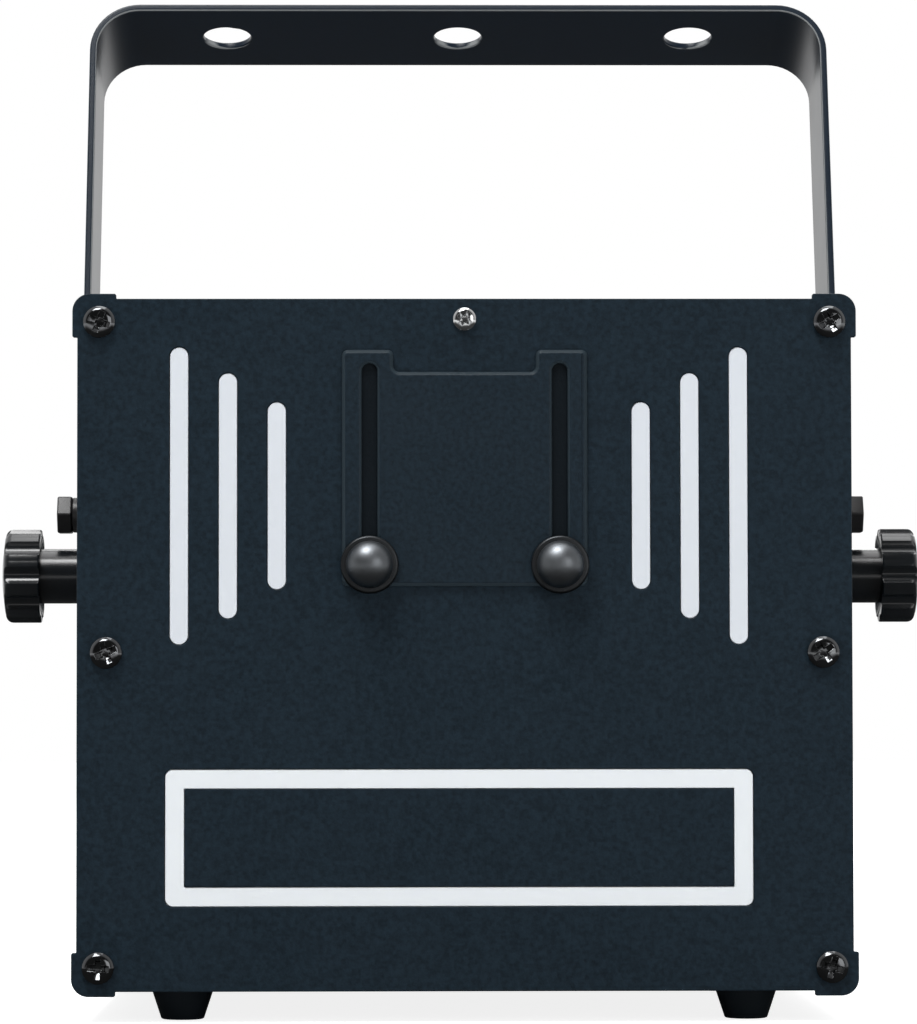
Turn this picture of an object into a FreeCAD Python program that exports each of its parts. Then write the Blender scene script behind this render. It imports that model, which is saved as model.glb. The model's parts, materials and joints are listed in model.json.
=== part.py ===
"""Laser show projector: a folded steel box with a slotted light front, a shutter plate over the beam window,
a tilting yoke with clamp knobs, and the optics, boards, supply and fan inside.

Millimetres, +Z up, front towards -Y. The origin is on the floor under the middle of the whole object.
A name that ends in level is a height above the box's underside, one that ends in drop a depth below its top,
one that ends in setback a distance behind the front panel's face, and one that ends in level_share a share of
the box's height.
"""
import FreeCAD
import Part
import math
import os

# Shared clearances and the overrun of every cut
seat_gap = 0.05
fit_gap = 0.15
slide_gap = 0.1
overrun = 1.0
point_tolerance = 1e-6

# Box
box_width = 200.0
box_height = 178.5
box_depth = 160.0
panel_thickness = 2.0
rear_thickness = 1.5
cover_wall = 1.2
cover_bend_radius = 2.5
cover_flange = 12.0
cover_tab_width = 30.0
cover_tab_radius = 2.0
tray_wall = 1.5
tray_lip = 12.0
tray_corner_relief = 16.0

# Front panel ears and screws
ear_reach = 1.3
ear_run = 10.0
ear_radius = 4.5
ear_step_radius = 0.5
corner_screw_inset = 5.7
corner_screw_end_inset = 6.1
side_screw_inset = 7.6
side_screw_level = 87.0
top_screw_inset = 5.4
front_screw_diameter = 4.0
front_screw_head_diameter = 8.2
front_screw_head_height = 2.6
front_screw_length = 8.0
small_screw_diameter = 3.0
small_screw_head_diameter = 6.0
small_screw_head_height = 2.0
small_screw_length = 6.0
screw_hole_clearance = 0.2
screw_crown_share = 0.75
clinch_nut_wall = 1.8
clinch_nut_length = 3.0

# Light cut-outs, whose middle lies a little to the left of the panel's
light_offset = -1.5
slot_width = 5.0
slot_middle_inset = 6.7
slot_inner_inset = 14.2
slot_outer_distance = 72.2
slot_pitch = 12.6
slot_top_drop = 12.5
slot_bottom_level = 89.0
frame_width = 151.6
frame_height = 35.4
frame_band = 5.0
frame_corner_radius = 2.0
frame_centre_level = 39.4
diffuser_sheet = 3.0
diffuser_margin = 4.0
diffuser_recess = 0.2
diffuser_clearance = 1.0
peg_diameter = 4.0
peg_inset = 5.0
peg_length = 6.0
board_thickness = 1.6
board_inset = 2.2
led_size = 5.0
led_height = 1.5
led_pitch = 14.0
frame_led_pitch = 15.0
frame_led_count = 10

# Beam window
aperture_width = 36.0
aperture_height = 36.0
aperture_drop = 42.5
aperture_radius = 2.0
glass_lap = 3.0
glass_thickness = 2.0
retainer_rim = 1.4
retainer_sheet = 1.0

# Shutter plate and its thumbscrews
shutter_width = 63.4
shutter_top_drop = 13.3
shutter_height = 61.1
shutter_thickness = 1.5
shutter_ear_width = 13.3
shutter_notch_depth = 5.7
shutter_corner_radius = 1.6
shutter_notch_radius = 1.5
shutter_slot_width = 4.0
shutter_slot_distance = 24.55
shutter_slot_margin = 3.5
shutter_edge_chamfer = 0.9
shutter_slot_chamfer = 0.6
thumb_shank_diameter = 3.0
thumb_flange_diameter = 15.0
thumb_flange_height = 1.8
thumb_neck_diameter = 11.0
thumb_neck_height = 0.6
thumb_dome_diameter = 12.2
thumb_dome_height = 5.6
thumb_dome_share = 0.93
thumb_edge_radius = 0.7
thumb_thread_length = 7.0
shutter_nut_diameter = 6.4
shutter_nut_length = 3.5

# Feet
foot_height = 8.0
foot_top_diameter = 16.0
foot_bottom_diameter = 11.0
foot_edge_radius = 0.8
foot_distance = 73.4
foot_inset = 18.0
foot_recess_diameter = 7.6
foot_recess_depth = 3.5
foot_screw_diameter = 4.0
foot_screw_head_diameter = 7.0
foot_screw_head_height = 2.2
foot_screw_reach = 4.0

# Yoke, its pivot and the limit bolts
pivot_level = 109.2
pivot_setback = 80.0
washer_thickness = 1.9
washer_diameter = 22.0
yoke_sheet = 2.0
yoke_bar_width = 36.6
yoke_bend_radius = 14.0
yoke_reach = 165.0
yoke_rest_tilt = 17.3
yoke_hole_diameter = 13.5
yoke_hole_spacing = 66.0
pivot_stud_diameter = 8.0
pivot_hole_clearance = 0.2
pivot_nut_plate_sheet = 3.0
pivot_nut_plate_width = 40.0
pivot_nut_margin = 14.0
pivot_nut_flats = 13.0
pivot_nut_height = 5.0
limit_bolt_distance = 16.8
limit_bolt_diameter = 6.0
limit_bolt_flats = 10.0
limit_bolt_head_height = 4.0
limit_washer_diameter = 9.6
limit_washer_thickness = 2.5
limit_slot_clearance = 0.25
limit_half_angle = 38.0
stud_tail = 2.0

# Knobs
knob_hub_diameter = 15.0
knob_hub_length = 10.8
knob_head_diameter = 26.0
knob_head_length = 10.7
knob_dish_depth = 1.2
knob_rim_radius = 0.5
knob_crown = 1.2
knob_edge_radius = 2.0
knob_flute_count = 10
knob_flute_radius = 2.4
knob_flute_depth = 1.5
knob_socket_depth = 9.0

# Side vents
vent_count = 13
vent_pitch = 8.0
vent_width = 3.0
vent_length = 32.0
vent_centre_level = 42.0
cover_screw_level = 6.5
cover_screw_spacing = 44.0

# Optical deck
mirror_gap = 13.0
beam_height = 19.0
scan_setback = 36.0
plate_sheet = 4.0
plate_side_clearance = 2.8
plate_front_setback = 22.0
plate_rear_room = 24.0
standoff_diameter = 8.0
standoff_inset = 8.0

# Scanner
galvo_diameter = 16.0
galvo_length = 32.0
galvo_shaft_diameter = 3.0
galvo_shaft_bore_depth = 16.0
galvo_nose = 12.0
galvo_cap_diameter = 10.0
galvo_cap_length = 4.0
galvo_clamp_wall = 3.5
galvo_clamp_length = 20.0
galvo_clamp_lead = 3.0
galvo_base_sheet = 5.0
scan_mirror_sheet = 1.0
scan_mirror_x_length = 9.0
scan_mirror_x_width = 8.0
scan_mirror_y_length = 14.0
scan_mirror_y_width = 10.0
scan_hub_diameter = 5.0
scan_hub_length = 4.0
scan_angle = 45.0

# Laser block
diode_count = 3
diode_pitch = 16.0
diode_first_distance = 40.0
diode_diameter = 12.0
diode_nose = 4.0
diode_lens_diameter = 4.0
diode_lens_depth = 2.0
diode_setback_from_beam = 12.0
laser_block_length = 28.0
laser_block_wall = 5.0
laser_block_top_wall = 5.0
heatsink_length = 26.0
heatsink_base = 4.0
heatsink_fin_sheet = 1.6
heatsink_fin_count = 9
heatsink_height = 36.0
dichroic_width = 10.0
dichroic_sheet = 1.0
dichroic_window = 5.0
dichroic_top = 6.0

# Lower deck
supply_width = 56.0
supply_length = 88.0
supply_height = 34.0
supply_left = -68.0
supply_setback = 26.0
supply_sheet = 1.0
supply_vent_count = 8
supply_vent_pitch = 8.0
supply_vent_width = 3.0
supply_vent_share = 0.6
supply_terminal_length = 10.0
supply_terminal_height = 14.0
driver_left = 2.0
driver_width = 66.0
driver_length = 84.0
driver_setback = 28.0
driver_post_height = 6.0
driver_post_diameter = 6.0
driver_post_inset = 5.0
driver_can_diameter = 10.0
driver_can_height = 18.0
driver_can_pitch = 14.0
driver_can_count = 4
driver_sink_sheet = 3.0
driver_sink_height = 24.0

# Fan at the back
fan_x = -48.0
fan_level_share = 0.683
fan_size = 60.0
fan_thickness = 15.0
fan_bore_diameter = 57.0
fan_corner_radius = 4.0
fan_hole_spacing = 50.0
fan_screw_diameter = 3.4
fan_screw_head_diameter = 6.6
fan_screw_head_height = 2.0
fan_hub_diameter = 26.0
fan_hub_plate = 2.5
fan_strut_width = 3.0
fan_strut_count = 4
fan_tip_gap = 1.2
fan_post_diameter = 4.0
fan_rotor_inset = 1.5
fan_blade_count = 7
fan_blade_sheet = 1.2
fan_blade_root_pitch = 50.0
fan_blade_tip_pitch = 28.0
fan_blade_share = 0.8
guard_wire = 1.6
guard_ring_count = 4
guard_ring_pitch = 6.8
guard_loop_radius = 2.7
guard_weld_share = 0.8

# Power inlet and rocker switch at the back
inlet_x = -50.0
inlet_level_share = 0.19
inlet_flange_width = 50.0
inlet_flange_height = 24.0
inlet_flange_sheet = 2.5
inlet_flange_radius = 3.0
inlet_body_width = 28.0
inlet_body_height = 20.0
inlet_depth = 18.0
inlet_cavity_width = 24.4
inlet_cavity_height = 16.6
inlet_cavity_chamfer = 4.5
inlet_cavity_depth = 16.0
inlet_pin_width = 4.0
inlet_pin_sheet = 2.0
inlet_pin_spread = 7.0
inlet_pin_drop = 2.0
inlet_pin_tip_depth = 5.0
inlet_screw_spacing = 40.0
rocker_x = -50.0
rocker_level_share = 0.37
rocker_half_height = 7.6
rocker_width = 11.0
rocker_front = 2.6
rocker_back = 4.0
rocker_back_share = 0.45
rocker_angle = 8.0
rocker_swing_room = 0.9
rocker_side_gap = 0.3
rocker_rim = 2.4
rocker_bezel_sheet = 1.8
rocker_case_depth = 14.0
rocker_case_wall = 1.4
rocker_pin_diameter = 2.0
rocker_pin_sink = 0.8

# Control sockets at the back
dmx_x = (22.0, 56.0)
dmx_level_share = 0.213
dmx_flange_width = 26.0
dmx_flange_height = 31.0
dmx_flange_sheet = 2.0
dmx_flange_radius = 3.0
dmx_barrel_diameter = 23.6
dmx_depth = 18.0
dmx_mouth_diameter = 18.6
dmx_mouth_depth = 14.0
dmx_pin_diameter = 2.4
dmx_pin_circle = 7.0
dmx_pin_length = 8.0
dmx_insert_diameter = 14.6
dmx_hole_diameter = 2.8
dmx_hole_depth = 8.0
dmx_screw_x = 9.5
dmx_screw_z = 12.0
ilda_x = 39.0
ilda_level_share = 0.437
ilda_flange_width = 53.0
ilda_flange_height = 12.6
ilda_flange_sheet = 1.0
ilda_shell_width = 38.4
ilda_shell_height = 8.0
ilda_shell_slant = 1.4
ilda_shell_radius = 2.4
ilda_shell_reach = 6.0
ilda_body_depth = 9.0
ilda_hole_diameter = 1.2
ilda_hole_depth = 3.0
ilda_hole_pitch = 2.76
ilda_row_gap = 2.84
ilda_long_row_count = 13
jack_spacing = 47.0
jack_flats = 5.0
jack_length = 5.0
jack_bore = 2.8
jack_bore_depth = 4.0

# Key switch, display and menu buttons at the back
key_x = -6.0
key_level_share = 0.37
key_body_diameter = 16.0
key_body_depth = 22.0
key_bezel_diameter = 19.0
key_bezel_height = 3.5
key_bezel_radius = 0.8
key_barrel_diameter = 12.0
key_barrel_depth = 12.0
key_barrel_reach = 0.8
key_slot_width = 1.6
key_slot_length = 8.0
key_slot_depth = 6.0
display_x = 39.0
display_rise = 54.0
display_width = 46.0
display_height = 18.0
display_radius = 1.5
display_proud = 0.4
display_lap = 2.0
display_lap_sheet = 1.5
button_x = 39.0
button_rise = 30.0
button_pitch = 14.0
button_count = 4
button_diameter = 6.0
button_reach = 1.6
button_crown_radius = 0.6
button_flange_diameter = 8.0
button_flange_sheet = 1.0
button_travel = 0.6
button_hole_gap = 0.15
tact_size = 6.0
control_left = 4.0
control_width = 70.0
control_level_share = 0.482
control_height = 70.0
control_gap = 10.0
control_post_diameter = 6.0
control_post_inset = 4.5
control_chip_size = 14.0
control_chip_height = 2.0

# Places worked out from the sizes above
front_reach = (2 * slide_gap + shutter_thickness + thumb_flange_height + thumb_neck_height
               + thumb_dome_height)
rear_reach = ilda_flange_sheet + ilda_shell_reach
panel_front = (front_reach - box_depth - rear_reach) / 2
panel_back = panel_front + panel_thickness
rear_face = panel_front + box_depth
rear_inside = rear_face - rear_thickness
half_width = box_width / 2
box_bottom = foot_height
box_top = box_bottom + box_height
inside_half = half_width - cover_wall
inside_top = box_top - cover_wall
tray_half = inside_half - fit_gap
tray_front = panel_back + cover_wall + fit_gap
tray_back = rear_inside - cover_wall - fit_gap
tray_top = box_bottom + tray_wall
pivot_y = panel_front + pivot_setback
pivot_z = box_bottom + pivot_level
yoke_inside = half_width + washer_thickness + slide_gap
yoke_outside = yoke_inside + yoke_sheet
slot_span = box_height - slot_top_drop - slot_bottom_level
slot_z = box_bottom + slot_bottom_level + slot_span / 2
frame_z = box_bottom + frame_centre_level
aperture_z = box_top - aperture_drop
shutter_bottom = box_top - shutter_top_drop - shutter_height
shutter_slot_length = shutter_height - 2 * shutter_slot_margin
thumb_z = shutter_bottom + shutter_slot_margin + shutter_slot_width / 2
thumb_seat = panel_front - 2 * slide_gap - shutter_thickness
scan_y = panel_front + scan_setback
beam_z = aperture_z - mirror_gap
plate_top = beam_z - beam_height
plate_bottom = plate_top - plate_sheet
plate_front = panel_front + plate_front_setback
plate_back = rear_inside - plate_rear_room
limit_z = pivot_z + limit_bolt_distance
stud_end = inside_half - pivot_nut_plate_sheet - pivot_nut_height - stud_tail
plate_half_width = stud_end - plate_side_clearance
control_back = rear_inside - control_gap
rocker_z = box_bottom + rocker_level_share * box_height
fan_z = box_bottom + fan_level_share * box_height
inlet_z = box_bottom + inlet_level_share * box_height
dmx_z = box_bottom + dmx_level_share * box_height
ilda_z = box_bottom + ilda_level_share * box_height
key_z = box_bottom + key_level_share * box_height
control_bottom = box_bottom + control_level_share * box_height
display_z = control_bottom + display_rise
button_z = control_bottom + button_rise
rocker_y = rear_face + rocker_bezel_sheet - rocker_front

AXES = {
    "x": FreeCAD.Vector(1, 0, 0),
    "y": FreeCAD.Vector(0, 1, 0),
    "z": FreeCAD.Vector(0, 0, 1),
}
SIDES = (-1, 1)


def spot(axis, u, v, along):
    """Point at along on the axis, with u and v on the other two axes in X, Y, Z order."""
    if axis == "x":
        return FreeCAD.Vector(along, u, v)
    if axis == "y":
        return FreeCAD.Vector(u, along, v)
    return FreeCAD.Vector(u, v, along)


def sound(shape):
    """The shape with its faces turned outwards."""
    if shape.Volume < 0:
        shape = shape.reversed()
    return shape


def outline(corners, place):
    """Face through corners (u, v, radius), each rounded by its radius, put in space by place(u, v)."""
    spans = []
    for index, (u, v, radius) in enumerate(corners):
        corner = FreeCAD.Vector(u, v, 0)
        before = FreeCAD.Vector(*corners[index - 1][:2], 0) - corner
        after = FreeCAD.Vector(*corners[(index + 1) % len(corners)][:2], 0) - corner
        if radius <= 0:
            spans.append((corner, None, corner))
            continue
        half = before.getAngle(after) / 2
        before.normalize()
        after.normalize()
        middle = before + after
        middle.normalize()
        reach = radius / math.tan(half)
        depth = radius / math.sin(half) - radius
        spans.append((corner + before * reach, corner + middle * depth, corner + after * reach))
    edges = []
    for index, (start, middle, end) in enumerate(spans):
        if middle is not None:
            arc = Part.Arc(place(start.x, start.y), place(middle.x, middle.y), place(end.x, end.y))
            edges.append(arc.toShape())
        following = spans[(index + 1) % len(spans)][0]
        if end.distanceToPoint(following) > point_tolerance:
            edges.append(Part.makeLine(place(end.x, end.y), place(following.x, following.y)))
    return Part.Face(Part.Wire(edges))


def prism(axis, corners, low, high):
    """Straight solid along the axis, from low to high, over the outline through the corners."""
    face = outline(corners, lambda u, v: spot(axis, u, v, low))
    return sound(face.extrude(AXES[axis] * (high - low)))


def block(x_low, x_high, y_low, y_high, z_low, z_high):
    """Rectangular solid between two corners."""
    corner = FreeCAD.Vector(x_low, y_low, z_low)
    return Part.makeBox(x_high - x_low, y_high - y_low, z_high - z_low, corner)


def rectangle(u, v, width, height, radius=0.0):
    """Corners of a rectangle about (u, v), all rounded alike."""
    shares = ((-1, -1), (1, -1), (1, 1), (-1, 1))
    return [(u + a * width / 2, v + b * height / 2, radius) for a, b in shares]


def slot(u, v, width, length):
    """Corners of an upright slot with round ends."""
    return rectangle(u, v, width, length, width / 2)


def hexagon(u, v, flats, turn):
    """Corners of a hexagon of that width across its flats, turned by that many degrees."""
    radius = flats / 2 / math.cos(math.pi / 6)
    angles = [math.radians(turn + 60 * index) for index in range(6)]
    return [(u + radius * math.cos(a), v + radius * math.sin(a), 0) for a in angles]


def rod(axis, u, v, diameter, low, high):
    """Round bar along the axis from low to high."""
    return Part.makeCylinder(diameter / 2, high - low, spot(axis, u, v, low), AXES[axis])


def ring(axis, u, v, outer, inner, low, high):
    """Round tube along the axis from low to high."""
    return rod(axis, u, v, outer, low, high).cut(rod(axis, u, v, inner, low - overrun, high + overrun))


def turned(axis, u, v, profile):
    """Solid of revolution about the axis, from a profile of corners (radius, along, corner radius)."""
    face = outline(profile, lambda radius, along: spot(axis, u + radius, v, along))
    return sound(face.revolve(spot(axis, u, v, 0), AXES[axis], 360))


def joined(shapes):
    """One solid from shapes that share faces or overlap."""
    first, *others = shapes
    return first.fuse(others).removeSplitter()


def pan_screw(axis, u, v, seat, out, head, shank):
    """Pan-head screw: head is (diameter, height), shank is (diameter, length), and out points to the head."""
    head_diameter, head_height = head
    shank_diameter, shank_length = shank
    tip = seat - out * shank_length
    top = seat + out * head_height
    return turned(axis, u, v, [
        (0, tip, 0),
        (shank_diameter / 2, tip, 0),
        (shank_diameter / 2, seat, 0),
        (head_diameter / 2, seat, 0),
        (head_diameter / 2, top, head_height * screw_crown_share),
        (0, top, 0),
    ])


def front_screw_places():
    """Centres of the six large front screws."""
    corner_x = half_width - corner_screw_inset
    side_x = half_width - side_screw_inset
    low = box_bottom + corner_screw_end_inset
    high = box_top - corner_screw_end_inset
    rows = ((corner_x, low), (side_x, box_bottom + side_screw_level), (corner_x, high))
    return [(side * x, z) for side in SIDES for x, z in rows]


def rear_screw_places():
    """Centres of the small screws of the rear panel."""
    x = half_width - corner_screw_inset
    low = box_bottom + corner_screw_end_inset
    high = box_top - corner_screw_end_inset
    return [(side * x, z) for side in SIDES for z in (low, (low + high) / 2, high)] + [top_screw_place()]


def top_screw_place():
    """Centre of the small screw at the top of each panel."""
    return 0, box_top - top_screw_inset


def light_slots(side):
    """Centre and length of each light slot on one side, the outermost first."""
    for index, inset in enumerate((0, slot_middle_inset, slot_inner_inset)):
        distance = slot_outer_distance - index * slot_pitch
        yield light_offset + side * distance, slot_span - 2 * inset


def panel_outline():
    """Corners of the front panel, with an ear that steps out at each corner."""
    corners = []
    for side, end in ((1, -1), (1, 1), (-1, 1), (-1, -1)):
        edge = box_bottom if end < 0 else box_top
        near = side * (half_width - ear_run)
        far = side * (half_width + ear_reach)
        out = edge + end * ear_reach
        back = edge - end * ear_run
        ear = [
            (near, edge, 0),
            (near, out, ear_step_radius),
            (far, out, ear_radius),
            (far, back, ear_step_radius),
            (side * half_width, back, 0),
        ]
        corners += ear if side * end < 0 else ear[::-1]
    return corners


def front_panel():
    """Front sheet with its light slots, frame opening, beam window and screw holes."""
    low, high = panel_front - overrun, panel_back + overrun
    cuts = [
        prism("y", slot(x, slot_z, slot_width, length), low, high)
        for side in SIDES for x, length in light_slots(side)
    ]
    cuts.append(prism("y", rectangle(light_offset, frame_z, frame_width, frame_height, frame_corner_radius),
                      low, high))
    cuts.append(prism("y", rectangle(0, aperture_z, aperture_width, aperture_height, aperture_radius),
                      low, high))
    hole = front_screw_diameter + 2 * screw_hole_clearance
    cuts += [rod("y", x, z, hole, low, high) for x, z in front_screw_places()]
    cuts.append(rod("y", *top_screw_place(), small_screw_diameter + 2 * screw_hole_clearance, low, high))
    thumb_hole = thumb_shank_diameter + 2 * screw_hole_clearance
    cuts += [rod("y", side * shutter_slot_distance, thumb_z, thumb_hole, low, high) for side in SIDES]
    return prism("y", panel_outline(), panel_front, panel_back).cut(cuts)


def cover_flanges(low, high):
    """Flanges turned in at one end of the cover: one down each side and a tab at the top."""
    middle = (box_bottom + inside_top) / 2
    side_x = inside_half - cover_flange / 2
    pieces = [
        prism("y", rectangle(side * side_x, middle, cover_flange, inside_top - box_bottom), low, high)
        for side in SIDES
    ]
    tab_half = cover_tab_width / 2
    tab_low = inside_top - cover_flange
    pieces.append(prism("y", [
        (-tab_half, inside_top, 0),
        (-tab_half, tab_low, cover_tab_radius),
        (tab_half, tab_low, cover_tab_radius),
        (tab_half, inside_top, 0),
    ], low, high))
    return pieces


def cover():
    """Top and sides bent from one sheet, with flanges turned in at the front and the back."""
    inner_radius = max(cover_bend_radius - cover_wall, 0)
    pieces = [prism("y", [
        (-half_width, box_bottom, 0),
        (-half_width, box_top, cover_bend_radius),
        (half_width, box_top, cover_bend_radius),
        (half_width, box_bottom, 0),
        (inside_half, box_bottom, 0),
        (inside_half, inside_top, inner_radius),
        (-inside_half, inside_top, inner_radius),
        (-inside_half, box_bottom, 0),
    ], panel_back, rear_inside)]
    for start in (panel_back, rear_inside - cover_wall):
        pieces += cover_flanges(start, start + cover_wall)
    low, high = -half_width - overrun, half_width + overrun
    middle = (panel_back + rear_inside) / 2
    vent_z = box_bottom + vent_centre_level
    cuts = []
    for index in range(vent_count):
        y = middle + (index - (vent_count - 1) / 2) * vent_pitch
        cuts.append(prism("x", slot(y, vent_z, vent_width, vent_length), low, high))
    stud_hole = pivot_stud_diameter + 2 * pivot_hole_clearance
    bolt_hole = limit_bolt_diameter + 2 * screw_hole_clearance
    cuts.append(rod("x", pivot_y, pivot_z, stud_hole, low, high))
    cuts.append(rod("x", pivot_y, limit_z, bolt_hole, low, high))
    side_hole = small_screw_diameter + 2 * screw_hole_clearance
    cuts += [rod("x", y, z, side_hole, low, high) for y, z in cover_screw_places()]
    front_end = panel_back + cover_wall + overrun
    thread = front_screw_diameter + 2 * seat_gap
    cuts += [rod("y", x, z, thread, panel_back - overrun, front_end) for x, z in front_screw_places()]
    small_thread = small_screw_diameter + 2 * seat_gap
    cuts.append(rod("y", *top_screw_place(), small_thread, panel_back - overrun, front_end))
    width, height = frame_sheet()
    room = rectangle(light_offset, frame_z, width + 2 * diffuser_clearance, height + 2 * diffuser_clearance)
    cuts.append(prism("y", room, panel_back - overrun, front_end))
    back_start = rear_inside - cover_wall - overrun
    cuts += [rod("y", x, z, small_thread, back_start, rear_inside + overrun) for x, z in rear_screw_places()]
    return joined(pieces).cut(cuts)


def cover_screw_places():
    """Centres (y, z) of the screws that hold the cover's sides to the tray."""
    middle = (panel_back + rear_inside) / 2
    z = box_bottom + cover_screw_level
    return [(middle + step * cover_screw_spacing, z) for step in (-1, 0, 1)]


def foot_places():
    """Centres of the four feet."""
    ends = (panel_front + foot_inset, rear_face - foot_inset)
    return [(side * foot_distance, y) for side in SIDES for y in ends]


def base_tray():
    """Floor sheet with a lip turned up along each edge and open corners."""
    lip_top = box_bottom + tray_lip
    sheet = block(-tray_half, tray_half, tray_front, tray_back, box_bottom, tray_top)
    end_half = tray_half - tray_corner_relief
    side_front = tray_front + tray_corner_relief
    side_back = tray_back - tray_corner_relief
    lips = [
        block(-end_half, end_half, tray_front, tray_front + tray_wall, box_bottom, lip_top),
        block(-end_half, end_half, tray_back - tray_wall, tray_back, box_bottom, lip_top),
        block(-tray_half, -tray_half + tray_wall, side_front, side_back, box_bottom, lip_top),
        block(tray_half - tray_wall, tray_half, side_front, side_back, box_bottom, lip_top),
    ]
    low, high = box_bottom - overrun, tray_top + overrun
    foot_thread = foot_screw_diameter + 2 * seat_gap
    side_thread = small_screw_diameter + 2 * seat_gap
    cuts = [rod("z", x, y, foot_thread, low, high) for x, y in foot_places()]
    cuts += [rod("x", y, z, side_thread, -half_width, half_width) for y, z in cover_screw_places()]
    return joined([sheet] + lips).cut(cuts)


def rear_panel():
    """Rear sheet with the openings of everything that sits in it."""
    low, high = rear_inside - overrun, rear_face + overrun
    middle = (box_bottom + box_top) / 2
    sheet = prism("y", rectangle(0, middle, box_width, box_height), rear_inside, rear_face)
    hole = small_screw_diameter + 2 * screw_hole_clearance
    cuts = [rod("y", x, z, hole, low, high) for x, z in rear_screw_places()]
    cuts.append(rod("y", fan_x, fan_z, fan_bore_diameter, low, high))
    fan_hole = fan_screw_diameter + 2 * screw_hole_clearance
    cuts += [rod("y", x, z, fan_hole, low, high) for x, z in fan_hole_places()]
    cuts.append(prism("y", rectangle(inlet_x, inlet_z, inlet_body_width + 2 * fit_gap,
                                     inlet_body_height + 2 * fit_gap), low, high))
    case_width, case_height = rocker_case_size()
    cuts.append(prism("y", rectangle(rocker_x, rocker_z, case_width + 2 * fit_gap,
                                     case_height + 2 * fit_gap), low, high))
    cuts += [rod("y", x, dmx_z, dmx_barrel_diameter + 2 * fit_gap, low, high) for x in dmx_x]
    cuts.append(prism("y", ilda_outline(fit_gap), low, high))
    cuts += [rod("y", ilda_x + side * jack_spacing / 2, ilda_z, jack_bore, low, high) for side in SIDES]
    cuts.append(rod("y", key_x, key_z, key_body_diameter + 2 * fit_gap, low, high))
    cuts.append(prism("y", rectangle(display_x, display_z, display_width + 2 * fit_gap,
                                     display_height + 2 * fit_gap, display_radius + fit_gap), low, high))
    button_hole = button_diameter + 2 * button_hole_gap
    cuts += [rod("y", x, z, button_hole, low, high) for x, z in button_places()]
    return sheet.cut(cuts)


def front_panel_screws():
    """Six large pan-head screws of the front panel."""
    head = (front_screw_head_diameter, front_screw_head_height)
    shank = (front_screw_diameter, front_screw_length)
    return [pan_screw("y", x, z, panel_front, -1, head, shank) for x, z in front_screw_places()]


def front_top_screw():
    """Small pan-head screw at the top of the front panel."""
    head = (small_screw_head_diameter, small_screw_head_height)
    shank = (small_screw_diameter, small_screw_length)
    return pan_screw("y", *top_screw_place(), panel_front, -1, head, shank)


def clinch_nuts():
    """Pressed nuts behind the front flange, one for each front screw."""
    low = panel_back + cover_wall
    high = low + clinch_nut_length
    places = [(place, front_screw_diameter) for place in front_screw_places()]
    places.append((top_screw_place(), small_screw_diameter))
    return [
        ring("y", x, z, diameter + 2 * clinch_nut_wall, diameter + 2 * seat_gap, low, high)
        for (x, z), diameter in places
    ]


def rear_panel_screws():
    """Small pan-head screws of the rear panel."""
    head = (small_screw_head_diameter, small_screw_head_height)
    shank = (small_screw_diameter, small_screw_length)
    return [pan_screw("y", x, z, rear_face, 1, head, shank) for x, z in rear_screw_places()]


def cover_screws():
    """Small pan-head screws through the cover's sides into the tray."""
    head = (small_screw_head_diameter, small_screw_head_height)
    shank = (small_screw_diameter, small_screw_length)
    return [
        pan_screw("x", y, z, side * half_width, side, head, shank)
        for side in SIDES for y, z in cover_screw_places()
    ]


def peg_places(x, z, width, height):
    """Corners of a board, inset to the middle of its pegs."""
    dx = width / 2 - peg_inset
    dz = height / 2 - peg_inset
    return [(x + a * dx, z + b * dz) for a in SIDES for b in SIDES]


def slot_sheet(side):
    """Centre, width and height of the diffuser sheet behind one side's slots."""
    places = [place[0] for place in light_slots(side)]
    width = abs(places[0] - places[-1]) + slot_width + 2 * diffuser_margin
    return (places[0] + places[-1]) / 2, width, slot_span + 2 * diffuser_margin


def slot_diffusers():
    """White sheets behind the slots, each with bars that fill them and pegs that carry a board."""
    solids = []
    for side in SIDES:
        x, width, height = slot_sheet(side)
        back = panel_back + diffuser_sheet
        pieces = [prism("y", rectangle(x, slot_z, width, height, diffuser_margin / 2), panel_back, back)]
        for bar_x, length in light_slots(side):
            bar = slot(bar_x, slot_z, slot_width - 2 * fit_gap, length - 2 * fit_gap)
            pieces.append(prism("y", bar, panel_front + diffuser_recess, panel_back))
        pieces += [rod("y", u, v, peg_diameter, back, back + peg_length)
                   for u, v in peg_places(x, slot_z, width, height)]
        solids.append(joined(pieces))
    return solids


def frame_sheet():
    """Width and height of the diffuser sheet behind the lower opening."""
    return frame_width + 2 * diffuser_margin, frame_height + 2 * diffuser_margin


def frame_diffuser():
    """White sheet behind the lower opening, with the frame that stands forward round the blank plate."""
    back = panel_back + diffuser_sheet
    width, height = frame_sheet()
    sheet = prism("y", rectangle(light_offset, frame_z, width, height, diffuser_margin / 2), panel_back, back)
    outer = rectangle(light_offset, frame_z, frame_width - 2 * fit_gap, frame_height - 2 * fit_gap,
                      frame_corner_radius)
    inner = rectangle(light_offset, frame_z, frame_width - 2 * frame_band, frame_height - 2 * frame_band)
    low = panel_front + diffuser_recess
    band = prism("y", outer, low, panel_back).cut(prism("y", inner, low - overrun, panel_back + overrun))
    pegs = [rod("y", u, v, peg_diameter, back, back + peg_length)
            for u, v in peg_places(light_offset, frame_z, width, height)]
    return joined([sheet, band] + pegs)


def name_plate():
    """Blank dark plate inside the white frame, level with the panel."""
    width = frame_width - 2 * frame_band - 2 * fit_gap
    height = frame_height - 2 * frame_band - 2 * fit_gap
    return prism("y", rectangle(light_offset, frame_z, width, height), panel_front, panel_back)


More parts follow.
